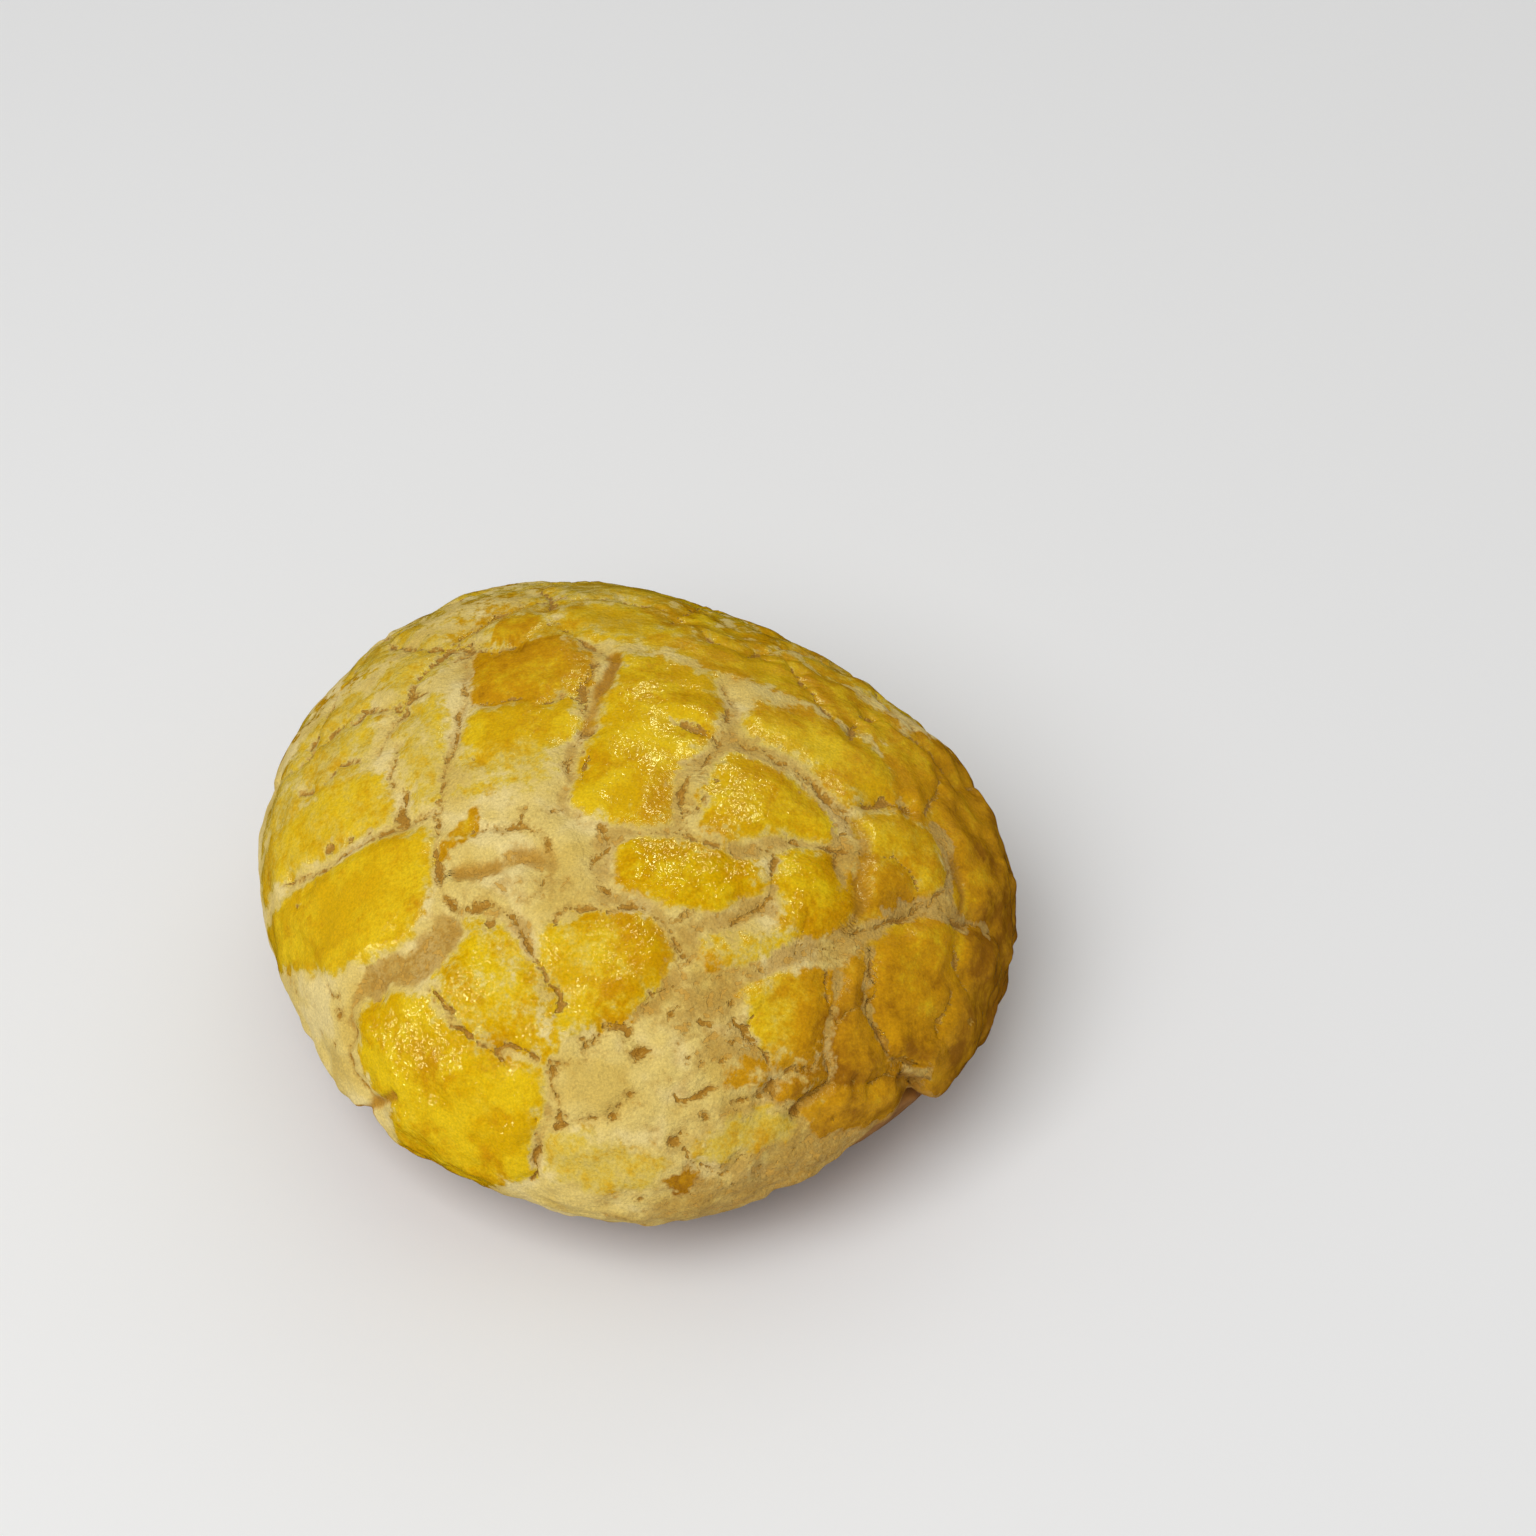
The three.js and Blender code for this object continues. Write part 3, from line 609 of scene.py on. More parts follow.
# the oven was hottest on the right: browning grows from the first to the second place along this direction
BAKED_TOWARDS, BAKED_FROM, BAKED_TO = (0.93, -0.37), 6.0, 52.0
print(len(TAN_BANDS), "bands,", len(FOLDS), "folds,", len(TAN_SPOTS), "tan spots")

# %% [markdown]
# As with the cracks, each point of the crust gets a few numbers: how deep it lies in a band, how tan and how
# browned it is, and how far it is sunk.

# %% Fields of the bands
# in half widths from a band's middle: its colour starts and is full, its dip starts and is full
COLOUR_FADE, DIP_FADE = (1.6, 0.3), (1.7, 0.2)
# in sizes of a spot from its middle, and how much its edge wanders
SPOT_FADE, SPOT_WOBBLE = (1.15, 0.45), 0.35
EDGE_WOBBLE, WIDEST_WOBBLE = 0.45, 1.2
# depth in a band is counted up to this, inside and outside
BAND_REACH = 2.0
BAKED_TAN = 0.8


def baked_side(uv):
    """From 0 to 1 along the direction in which the oven was hotter."""
    return ramp(BAKED_FROM, BAKED_TO, uv @ BAKED_TOWARDS)


def spot_tan(uv, wobble):
    """Tan of the spots: each is a turned ellipse with an edge that wanders."""
    tan = np.zeros(len(uv))
    for u, v, length, width, turned, amount in TAN_SPOTS:
        a = np.radians(turned)
        du, dv = uv[:, 0] - u, uv[:, 1] - v
        x, y = du * np.cos(a) + dv * np.sin(a), dv * np.cos(a) - du * np.sin(a)
        d = np.hypot(x / length, y / width) + SPOT_WOBBLE * wobble
        tan = np.maximum(tan, amount * ramp(*SPOT_FADE, d))
    return tan


def band_fields(uv):
    """Depth inside the nearest band in millimetres, tan from 0 to 1, browning from 0 to 1, which in the folds
    also paints the shade of their valleys, and how far the dough is sunk. Each band is full in its middle and
    fades out past its half width, and its edge wanders by noise."""
    bare = np.full(len(uv), -BAND_REACH)
    tan, brown, sunk = np.zeros(len(uv)), np.zeros(len(uv)), np.zeros(len(uv))
    wobble = EDGE_WOBBLE * rough(uv, 2.6, 31)
    # a fold's browning also paints the shade of its valley
    for rows, tint in ((TAN_BANDS, tan), (FOLDS, brown)):
        for half, amount, depth, route in rows:
            found, d, _, _ = near_line(uv, bent(route), 3 * half + 2)
            d = d + wobble[found] * min(half, WIDEST_WOBBLE)
            tint[found] = np.maximum(tint[found], amount * ramp(*COLOUR_FADE, d / half))
            sunk[found] = np.maximum(sunk[found], depth * ramp(*DIP_FADE, d / half))
            if tint is tan:
                bare[found] = np.maximum(bare[found], half - d)
    tan = np.maximum(tan, spot_tan(uv, wobble))
    tan = tan + (1 - tan) * BAKED_TAN * baked_side(uv)
    return np.clip(bare, -BAND_REACH, BAND_REACH), tan, brown, sunk


right_and_left = np.array([[50.0, 0.0], [-50.0, 5.0]])
print("tan at the right side and at the left:", band_fields(right_and_left)[1].round(2))

# %% [markdown]
# ## The egg wash
# The yolk was brushed on before baking and tore with the crust, so it lies in patches that mostly fill a
# tile. Each patch is an outline of a few corners. What the surface needs is how deep inside a patch each
# point lies, in millimetres; the material turns that into a brushed, ragged edge. Where the yolk lay thick
# the oven browned it to orange. A row says (strength from 0 to 1, orange at the first end and at the other
# end, direction of that change in degrees, gloss from 0 to 1, corners).

# %% Wash on the upper middle
UPPER_WASH = [
    # the browned tile, the small one above it, and the yellow one below it
    (1.0, 0.5, 0.42, 0, 0.25, [
        (-15, 14.6), (-15.3, 9), (-14, 5.4), (-8, 4.9), (-4, 5.2), (-3.4, 9), (-4.4, 13), (-7.4, 15.4),
        (-11, 13.3),
    ]),
    (0.9, 0.55, 0.4, 0, 0.2, [(-14, 15.8), (-11, 14.6), (-8.5, 17), (-8.2, 20), (-13.2, 21.5)]),
    (0.95, 0.3, 0.15, 0, 0.3, [
        (-15.2, 4.7), (-8, 3.9), (-4.2, 4), (-4, 1), (-5, -1.2), (-9, -3), (-12, -1.6), (-15, -2.8),
        (-16.4, 0.5),
    ]),
    (0.4, 0.0, 0.0, 0, 0.3, [(-17, -1), (-6, -1), (-5.4, -6), (-9, -8), (-17.6, -7.5)]),
    # the upper middle
    (1.0, 0.16, 0.1, 90, 0.5, [
        (0, 10.5), (4, 11.3), (9.3, 9.8), (10.4, 4), (8.3, 0), (5.4, -6), (5, -11.4), (-0.6, -11.6),
        (-4.2, -9.4), (-3.2, -4), (-1.4, 0), (-0.4, 6),
    ]),
    (1.0, 0.12, 0.15, 0, 0.6, [
        (10.4, -1.8), (15, -4), (20, -6.8), (22.2, -9.5), (21.4, -12), (16, -11.9), (11.5, -13),
        (8.2, -10.5), (9.2, -6), (9.8, -3.5),
    ]),
    (0.85, 0.1, 0.2, 0, 0.3, [
        (11.6, 1.4), (15, 4.8), (20, 5.4), (26, 3.4), (30, -1), (29, -4.4), (22.5, -5.8), (18, -1.8),
        (13, -0.9),
    ]),
    (1.0, 0.25, 0.1, 0, 1.0, [
        (-0.1, -13.6), (5.5, -13.4), (9.5, -15.2), (13.8, -16.4), (15.2, -19.5), (10.5, -21.8), (4, -21),
        (0.4, -18.2),
    ]),
    (1.0, 0.1, 0.35, 0, 0.8, [
        (16.3, -15.2), (19, -13.8), (23, -14), (25.4, -17), (25.6, -20), (23.5, -23), (19.8, -24.2),
        (16.8, -20),
    ]),
    (0.8, 0.1, 0.2, 0, 0.3, [
        (25.2, -9.4), (28, -7.9), (33, -6.5), (36.4, -8), (38.2, -12), (34.4, -15.6), (31, -13.4),
        (28, -12.4),
    ]),
    (0.75, 0.3, 0.6, 0, 0.3, [(27, -13.8), (31, -13.8), (34.4, -17), (30.6, -19.8), (27.6, -21.6)]),
    (0.95, 0.2, 0.7, 0, 0.2, [
        (37, 10), (48, 14), (57, 2), (60, -10), (58, -15), (46, -14.6), (41.4, -13.4), (40, -8), (37, 0),
    ]),
]
print(len(UPPER_WASH), "patches")

# %% Wash on the left side
LEFT_WASH = [
    (1.0, 0.0, 0.04, 0, 0.35, [
        (-62, -11), (-48, -12.4), (-36, -12.2), (-29, -11.3), (-22.2, -11.8), (-21.8, -19), (-25, -25.2),
        (-31, -27.6), (-40, -27.6), (-50, -24), (-64, -18),
    ]),
    (0.68, 0.0, 0.0, 0, 0.25, [
        (-60, -7), (-58, 0), (-40, 1), (-30, 0.5), (-27.5, -3), (-27.6, -8.6), (-38, -10),
    ]),
    (0.5, 0.0, 0.0, 0, 0.25, [(-57, 1), (-50, 10), (-38, 18), (-29.5, 15), (-28.6, 6), (-30, 1)]),
    (0.5, 0.0, 0.0, 0, 0.2, [(-27.5, 17), (-25, 9), (-20, 13.5), (-18.4, 18), (-22, 22)]),
    (0.45, 0.0, 0.0, 0, 0.25, [(-24.6, 8), (-20, 9), (-17.6, 3), (-20, -7), (-24, -8), (-24.6, 0)]),
    (0.55, 0.0, 0.0, 0, 0.2, [(-36, 22), (-28, 19.6), (-24, 25), (-30, 33), (-38, 30)]),
]
print(len(LEFT_WASH), "patches")

# %% Wash on the lower left and the bottom
LOWER_WASH = [
    # the lower left
    (0.9, 0.12, 0.06, 0, 0.8, [
        (-30.4, -32.6), (-34, -33.4), (-37.2, -36), (-38.8, -41), (-37.8, -46.4), (-33.6, -50),
        (-38.4, -57), (-41, -63), (-39, -74), (-31, -79), (-25, -72), (-17.5, -62.3), (-12.4, -61),
        (-11.6, -56), (-10.6, -52), (-8.2, -46), (-8.6, -42.3), (-14, -41.8), (-18.6, -38.4),
        (-22.4, -34.2),
    ]),
    (0.68, 0.08, 0.12, 0, 1.0, [
        (-17, -24.2), (-13, -24.2), (-9.8, -26), (-7.6, -31.6), (-7, -36.6), (-7.6, -40.8), (-13, -39.4),
        (-16.5, -38.3), (-18.9, -35), (-21.4, -31.6), (-18.7, -27.2),
    ]),
    (0.75, 0.1, 0.2, 0, 0.8, [
        (-6.8, -24.4), (-2, -23), (3, -22.2), (5.6, -25), (6.4, -28.9), (4.6, -31.6), (2, -34.5),
        (-2.5, -37), (-6.2, -37), (-6.6, -32), (-8, -28),
    ]),
    (1.0, 0.7, 0.7, 0, 0.9, [(0.6, -23), (4, -22.6), (5.8, -26), (6, -29), (3, -30), (1, -27)]),
    # the middle and the bottom
    (0.5, 0.0, 0.1, 0, 0.6, [(9, -25.5), (14, -24.6), (19, -24.2), (18.5, -27), (14, -29)]),
    (0.75, 0.0, 0.5, 0, 0.4, [
        (14.6, -31), (18, -29.6), (23.6, -28.8), (25, -33.6), (25.4, -38.6), (22, -41.6), (18, -38.4),
        (15.6, -35),
    ]),
    (0.45, 0.4, 0.5, 0, 0.2, [(13.6, -41.6), (17, -41.4), (18.4, -44), (15, -45)]),
    (0.65, 0.5, 0.6, 0, 0.2, [(21, -43.6), (27.4, -42.4), (27, -44.4), (23.6, -46.6), (21, -46)]),
    (0.45, 0.0, 0.0, 0, 0.1, [
        (-10, -53), (-4, -52), (4, -54), (7.6, -57), (5, -61.5), (-4, -62.5), (-9.6, -60),
    ]),
    (0.45, 0.0, 0.0, 0, 0.1, [(-9.6, -54.6), (-6, -55), (-5.6, -60), (-9.2, -61)]),
    (0.5, 0.0, 0.02, 0, 0.1, [
        (10.6, -54.4), (15, -50.6), (20.4, -48), (25, -50.2), (24.6, -53), (18, -55.4), (12, -57),
    ]),
    (0.9, 0.5, 0.5, 0, 0.3, [(7.6, -59.6), (11.4, -59.2), (9.8, -62), (8.8, -62.2)]),
    (0.9, 0.45, 0.45, 0, 0.4, [(-19.5, -15.2), (-18.8, -13.8), (-15.7, -10.8), (-16.6, -13)]),
    (0.8, 0.5, 0.5, 0, 0.4, [(8.6, -25.4), (9.2, -25.4), (10.7, -29), (10.2, -29.4)]),
    (0.6, 0.4, 0.4, 0, 0.1, [(-28.8, 8.4), (-28, 7.8), (-27.4, 8.6), (-28, 9.2)]),
]
print(len(LOWER_WASH), "patches")

# %% Wash on the right side and the top
RIGHT_WASH = [
    # the right side, which baked darkest
    (0.95, 0.2, 0.6, -60, 0.3, [
        (29.6, -25), (33, -20.5), (37, -18), (43, -18), (45.4, -22), (44.6, -30), (42.4, -38.4),
        (37.5, -38.4), (33.5, -33.8), (31.8, -30),
    ]),
    (1.0, 0.6, 1.0, 0, 0.2, [
        (46, -17), (52, -16), (62, -17), (68, -28), (62, -35), (53, -33), (47, -31), (46.4, -25.6),
    ]),
    (0.9, 0.5, 0.7, -60, 0.15, [
        (26.4, -35.6), (28.5, -34.2), (32.5, -35.2), (36.6, -39.6), (38.4, -41.2), (33, -42.5),
        (29, -42.9), (27.2, -40),
    ]),
    (0.8, 0.4, 0.6, -60, 0.1, [(26.2, -30), (28.6, -27), (31, -31.6), (30.6, -34), (27, -34)]),
    (0.95, 0.3, 0.6, 0, 0.15, [
        (26, -49.2), (27, -46.8), (29, -45), (34, -44.3), (39, -42.8), (43.2, -43.4), (43.4, -45.6),
        (40, -48.4), (34, -51), (29, -51.6),
    ]),
    (0.95, 0.5, 0.8, 0, 0.15, [
        (44.6, -36), (47, -31), (56, -31), (65, -33), (63, -38), (57, -42.5), (48, -41.5),
    ]),
    (0.9, 0.15, 0.3, 0, 0.3, [(30, 4), (36, 8), (40, 2), (38.5, -5), (33.5, -4.6), (31.4, -1)]),
    (0.9, 0.45, 0.9, 0, 0.15, [
        (58, -16), (57, 0), (54, 13), (63, 15), (69, 3), (71, -14), (70, -30), (62, -34), (60, -24),
    ]),
    # at the top, towards the back
    (0.7, 0.0, 0.0, 0, 0.2, [(-6.4, 19.5), (-2, 15), (2, 14.6), (5, 18), (3, 24), (-4, 25)]),
    (0.85, 0.1, 0.3, 0, 0.2, [(6, 14), (13, 10.6), (22, 8), (31, 5), (33, 12), (22, 19), (11, 21)]),
]
print(len(RIGHT_WASH), "patches")

# %% How deep inside a patch
WASH = UPPER_WASH + LEFT_WASH + LOWER_WASH + RIGHT_WASH
# depth in a patch is counted up to PATCH_REACH; a patch counts fully from the second depth of PATCH_COUNTS
PATCH_REACH, PATCH_COUNTS = 4.0, (-1.5, 1.0)


def inside(uv, corners):
    """How far inside the outline a point lies: the distance to its nearest side, positive if a ray to the
    right crosses the sides an odd number of times."""
    p = np.array(corners, float)
    nearest = np.full(len(uv), np.inf)
    odd = np.zeros(len(uv), bool)
    for a, b in zip(p, np.roll(p, -1, 0)):
        t = np.clip((uv - a) @ (b - a) / ((b - a) @ (b - a)), 0, 1)
        nearest = np.minimum(nearest, np.linalg.norm(uv - a - t[:, None] * (b - a), axis=1))
        crosses = (a[1] > uv[:, 1]) != (b[1] > uv[:, 1])
        rise = b[1] - a[1] if b[1] != a[1] else 1e-9
        odd ^= crosses & (uv[:, 0] < a[0] + (uv[:, 1] - a[1]) / rise * (b[0] - a[0]))
    return np.where(odd, nearest, -nearest)


def patch_fields(uv):
    """Depth inside the nearest patch in millimetres, from -4 to 4, and that patch's strength, orange and
    gloss. Where two patches meet, the deeper one counts more."""
    depth = np.full(len(uv), -PATCH_REACH)
    total = np.full(len(uv), 1e-6)
    sums = np.zeros((3, len(uv)))
    for strength, near_orange, far_orange, direction, gloss, corners in WASH:
        p = np.array(corners, float)
        found = np.flatnonzero(((uv > p.min(0) - PATCH_REACH) & (uv < p.max(0) + PATCH_REACH)).all(1))
        d = inside(uv[found], corners)
        a = np.radians(direction)
        along = uv[found] @ (np.cos(a), np.sin(a))
        ends = p @ (np.cos(a), np.sin(a))
        share = np.clip((along - ends.min()) / (ends.max() - ends.min()), 0, 1)
        orange = near_orange + (far_orange - near_orange) * share
        weight = ramp(*PATCH_COUNTS, d) + 1e-3
        total[found] += weight
        for row, value in enumerate((strength, orange, gloss)):
            sums[row, found] += weight * value
        depth[found] = np.maximum(depth[found], np.minimum(d, PATCH_REACH))
    return depth, *sums / total


print(len(WASH), "patches")

# %% [markdown]
# The back was washed by the same hand, but its patches follow noise instead of a list. Towards the right,
# where the oven was hotter, the wash is thicker, browner, and runs on down the side.

# %% Wash on the back and all over
# where the back begins, counted in v, less so to the sides; how far that comes forward at the right side,
# and from which u
BACK_BEGINS, BACK_BENDS, SIDE_FORWARD, SIDE_BEGINS = (6, 16), 0.15, 12, (48, 60)
# (mean depth in millimetres, height of its noise, size of its hills, seed)
BACK_DEPTH = (1.1, 3.2, 17, 77)
# (mean, more on the right, height of its noise, size of its hills, seed)
BACK_STRENGTH, BACK_ORANGE = (0.36, 0.42, 0.25, 14, 91), (0.0, 0.2, 0.2, 20, 92)
BACK_GLOSS, RIGHT_FROM = (0.45, 0.0, 0.3, 16, 93), (-22, 8)
# how far from the top the patches stop, how fast, how much that strays, and how deep it cuts
WASH_LIMIT, LIMIT_FADE, LIMIT_STRAYS, LIMIT_CUTS = 60, 6, 9, 6
# how much the side's patches grow, from which u, and up to which v
SIDE_GROWS, GROWS_FROM, GROWS_TO = 7.0, (44, 56), (40, 12)
# on the right of the front the wash runs this much closer to the seams, from which u and which v
WASH_SPREADS, SPREADS_FROM_U, SPREADS_FROM_V = 1.1, (14, 34), (-47, -40)
# more orange near the crust's edge, by noise, and on the side that baked hottest
EDGE_ORANGE, EDGE_BEGINS = 0.25, (62, 80)
UNEVEN_ORANGE, BAKED_ORANGE = 0.2, 0.2
# a patch of the list holds its ground where it is this deep
HOLDS_GROUND = 0.4


def back_value(uv, mean, on_the_right, height, size, seed):
    """A mean value, plus more on the right, plus noise."""
    return mean + on_the_right * ramp(*RIGHT_FROM, uv[:, 0]) + height * hills(uv, size, seed)


def back_wash(uv):
    """Depth, strength, orange and gloss of the patches that follow noise. The depth is a mean plus noise,
    cut down past the limit and in front of the line where the back begins."""
    u, v = uv[:, 0], uv[:, 1]
    back = ramp(*BACK_BEGINS, v - BACK_BENDS * np.abs(u) + SIDE_FORWARD * ramp(*SIDE_BEGINS, u))
    limit = np.linalg.norm(uv, axis=1) + LIMIT_STRAYS * rough(uv, 15, 96, 2)
    stops = ramp(WASH_LIMIT - LIMIT_FADE, WASH_LIMIT + LIMIT_FADE, limit)
    mean, height, size, seed = BACK_DEPTH
    depth = height * rough(uv, size, seed, 2) + mean - stops * LIMIT_CUTS
    depth = depth + SIDE_GROWS * ramp(*GROWS_FROM, u) * ramp(*GROWS_TO, v)
    depth = np.clip(depth, -PATCH_REACH, PATCH_REACH) * back - PATCH_REACH * (1 - back)
    return depth, *(back_value(uv, *row) for row in (BACK_STRENGTH, BACK_ORANGE, BACK_GLOSS))


def wash_fields(uv):
    """The wash's four fields on the whole crust. The back's patches count where they are deeper and no patch
    of the list is near. The wash is browner near the crust's edge and on the side that baked hottest."""
    depth, *front = patch_fields(uv)
    depth = depth + WASH_SPREADS * ramp(*SPREADS_FROM_U, uv[:, 0]) * ramp(*SPREADS_FROM_V, uv[:, 1])
    back_depth, *back = back_wash(uv)
    swap = (back_depth > depth) & (depth < HOLDS_GROUND)
    depth = np.where(swap, back_depth, depth)
    strength, orange, gloss = (np.where(swap, there, here) for there, here in zip(back, front))
    orange = orange + EDGE_ORANGE * ramp(*EDGE_BEGINS, np.linalg.norm(uv, axis=1))
    orange = orange + UNEVEN_ORANGE * rough(uv, 4.5, 95, 2) + BAKED_ORANGE * baked_side(uv)
    return depth, np.clip(strength, 0, 1), np.clip(orange, 0, 1), np.clip(gloss, 0, 1)


somewhere = np.array([[2.0, 4.0], [10.0, -48.0]])
print("depth of the wash in a washed tile and on bare dough in mm:", wash_fields(somewhere)[0].round(1))

# %% [markdown]
# ## The crust's edge
# The shell ends low on the bun in lobes. At two places it drew back far enough to show bare bread.

# %% The rim
# (azimuth in degrees, how far down the disc the crust reaches in millimetres)
RIM = [
    (-180, 80), (-163, 81), (-146, 78), (-138, 76), (-130, 66), (-123, 76), (-108, 83), (-90, 84.5),
    (-76, 81), (-66, 74), (-56, 67), (-48, 65), (-44, 62.5), (-39, 71), (-33, 77), (-22, 80), (-8, 83),
    (8, 80), (22, 82), (36, 76), (47, 81), (63, 83), (74, 78), (81, 68), (88, 77), (103, 82), (121, 80),
    (132, 74), (143, 80), (160, 83), (180, 80),
]
RIM_TABLE = bent(RIM)
RIM_TABLE = RIM_TABLE[np.argsort(RIM_TABLE[:, 0])]
RIM_RAGGED, RAGGED_SIZE = 0.35, 1.6


def rim(phi):
    """How far down the disc the crust reaches at azimuth phi: from the table, plus RIM_RAGGED times noise."""
    degrees = (np.degrees(phi) + 180) % 360 - 180
    smooth = np.interp(degrees, RIM_TABLE[:, 0], RIM_TABLE[:, 1])
    return smooth + RIM_RAGGED * rough(flat(12, phi), RAGGED_SIZE, 61)


shortest, longest = RIM_TABLE[:, 1].min(), RIM_TABLE[:, 1].max()
print("the crust reaches", shortest.round(1), "to", longest.round(1), "mm down the disc")

# %% [markdown]
# ## Relief
# All of this adds up to one number for each point of the crust: how far it stands above the round form. It is
# real relief in the mesh, because a tile's shadow side and the notched outline can't come from a bump.

# %% Height of the crust
# how high a tile swells, and how far from a seam its side starts and ends
TILE_RISE, TILE_FOOT, TILE_SHOULDER = 0.85, 0.1, 3.8
LUMP_HEIGHT = 0.35
# the wash's own relief grows from the first to the second depth in a patch, and fades out inside a band
WASHED_FROM, WASHED_FADE = (-1.6, 0.0), (0.3, -0.5)
# a tile rounds off towards a band as if a seam lay this far inside the band
BAND_SEAM = 0.4
# (height, size across, seed, octaves); they are deeper on the right, from the first to the second u
DENTS = [(0.34, 6.5, 21, 2), (0.16, 3.1, 25, 1)]
DENTS_DEEPER, DEEPER_FROM = 0.7, (15, 45)
# the oven browns the thin edge, from the first to the second distance from it
RIM_BROWNED, RIM_FADE, RIM_STRAYS = 0.6, (1.9, 0.3), 0.6
# height and size across of the wash's wrinkles and the dough's crumb, and what gloss and tan add to it
WRINKLES, GLOSS_WRINKLES, WRINKLE_SIZE = 0.06, 0.05, 2.2
CRUMBS, TAN_CRUMBS, CRUMB_SIZE, WASH_SMOOTHS = 0.08, 0.06, 1.9, 0.6
FOLDED_LOBE = dict(u=52, v=-34, height=1.3, reach=9)


def lumps(uv):
    """Slow waves of the whole shell, 57 by 69 mm long and 107 mm long aslant, and a lobe where it lies
    double: a bell curve about its centre."""
    u, v = uv[:, 0], uv[:, 1]
    waves = np.sin(u / 9 + 1.1) * np.cos(v / 11) + np.sin((u - 1.4 * v) / 17 + 0.4)
    away = np.hypot(u - FOLDED_LOBE["u"], v - FOLDED_LOBE["v"]) / FOLDED_LOBE["reach"]
    return LUMP_HEIGHT * waves + FOLDED_LOBE["height"] * np.exp(-(away**2))


def crust_fields(uv):
    """Every field of the crust at the points uv, and the relief that follows from them: lumps, tiles that
    round off towards their seams, wrinkled wash, crumbly bare dough, and what is cut and sunk."""
    middle, edge, cut = crack_fields(uv)
    bare, tan, brown, sunk = band_fields(uv)
    depth, strength, orange, gloss = wash_fields(uv)
    washed = ramp(*WASHED_FROM, depth) * strength * ramp(*WASHED_FADE, bare)
    rho, phi = polar(uv)
    from_edge = rim(phi) - rho + RIM_STRAYS * rough(uv, 5.0, 33)
    brown = np.maximum(brown, RIM_BROWNED * ramp(*RIM_FADE, from_edge))
    seam = np.minimum(middle, np.maximum(-bare, 0) + BAND_SEAM)
    tile = TILE_RISE * ramp(TILE_FOOT, TILE_SHOULDER, seam) - TILE_RISE / 2
    dents = sum(height * rough(uv, size, seed, octaves) for height, size, seed, octaves in DENTS)
    dents *= 1 + DENTS_DEEPER * ramp(*DEEPER_FROM, uv[:, 0])
    wrinkles = (WRINKLES + GLOSS_WRINKLES * gloss) * rough(uv, WRINKLE_SIZE, 23, 2) * washed
    crumb = (CRUMBS + TAN_CRUMBS * tan) * rough(uv, CRUMB_SIZE, 27, 1) * (1 - WASH_SMOOTHS * washed)
    relief = lumps(uv) + tile + dents + wrinkles + crumb - cut - sunk
    masks = dict(
        crack_edge=np.clip(edge, -1, 4), seam_depth=bare, wash_depth=depth, wash_strength=strength,
        wash_orange=orange, wash_gloss=gloss, tan=tan, browned=brown,
    )
    return relief, masks


relief, masks = crust_fields(somewhere)
print("relief at the same two places in mm:", relief.round(2), "and the masks:", ", ".join(masks))

# %% [markdown]
# ## The crust
# The outside is a square grid bent into a disc, so that its cells are the same size all over: a grid of rings
# would crowd at the top. Around it run the rows of the rounded lip, and then coarse rings close the hidden
# inside. Blender's mesh is filled with foreach_set, because whole arrays go in at once.

# %% Grid to disc
GRID, DECIMETRE = 297, 100.0


def disc_grid(count):
    """A square grid from -1 to 1 mapped to the unit disc: each square ring becomes a circle of the same half
    width, and a point keeps its share of the way along its side."""
    a, b = np.meshgrid(np.linspace(-1, 1, count), np.linspace(-1, 1, count), indexing="ij")
    wide = np.abs(a) > np.abs(b)
    r = np.where(wide, a, b)
    other = np.where(wide, b, a)
    with np.errstate(divide="ignore", invalid="ignore"):
        turn = np.where(r == 0, 0, np.pi / 4 * other / r)
    x = np.where(wide, r * np.cos(turn), r * np.sin(turn))
    y = np.where(wide, r * np.sin(turn), r * np.cos(turn))
    return np.stack([x, y], -1).reshape(-1, 2)


def grid_faces(count):
    """The grid's quads, counter-clockwise from above."""
    n = np.arange(count * count).reshape(count, count)
    return np.stack([n[:-1, :-1], n[1:, :-1], n[1:, 1:], n[:-1, 1:]], -1).reshape(-1, 4)


def grid_border(count):
    """The grid's outer corners, counter-clockwise from above."""
    n = np.arange(count * count).reshape(count, count)
    return np.concatenate([n[:-1, 0], n[-1, :-1], n[:0:-1, -1], n[0, :0:-1]])


print("the grid:", GRID, "points on a side,", len(grid_faces(GRID)), "cells")

# %% Meshes from arrays


def ring_faces(first, second):
    """Quads between two rings of the same number of corners, facing away from the way they are walked."""
    return np.stack([first, second, np.roll(second, -1), np.roll(first, -1)], -1)


def new_piece(name, points, quads, triangles):
    """A mesh object from points in millimetres and index arrays of quads and triangles."""
    mesh = bpy.data.meshes.new(name)
    corners = np.concatenate([quads.ravel(), triangles.ravel()]).astype(np.int32)
    starts = np.concatenate([4 * np.arange(len(quads)), 4 * len(quads) + 3 * np.arange(len(triangles))])
    mesh.vertices.add(len(points))
    mesh.vertices.foreach_set("co", (points * MM).astype(np.float32).ravel())
    mesh.loops.add(len(corners))
    mesh.loops.foreach_set("vertex_index", corners)
    mesh.polygons.add(len(starts))
    mesh.polygons.foreach_set("loop_start", starts.astype(np.int32))
    mesh.update(calc_edges=True)
    mesh.polygons.foreach_set("use_smooth", np.ones(len(starts), bool))
    piece = bpy.data.objects.new(name, mesh)
    bpy.context.scene.collection.objects.link(piece)
    print(name, "-", len(points), "points,", 2 * len(quads) + len(triangles), "triangles")
    return piece


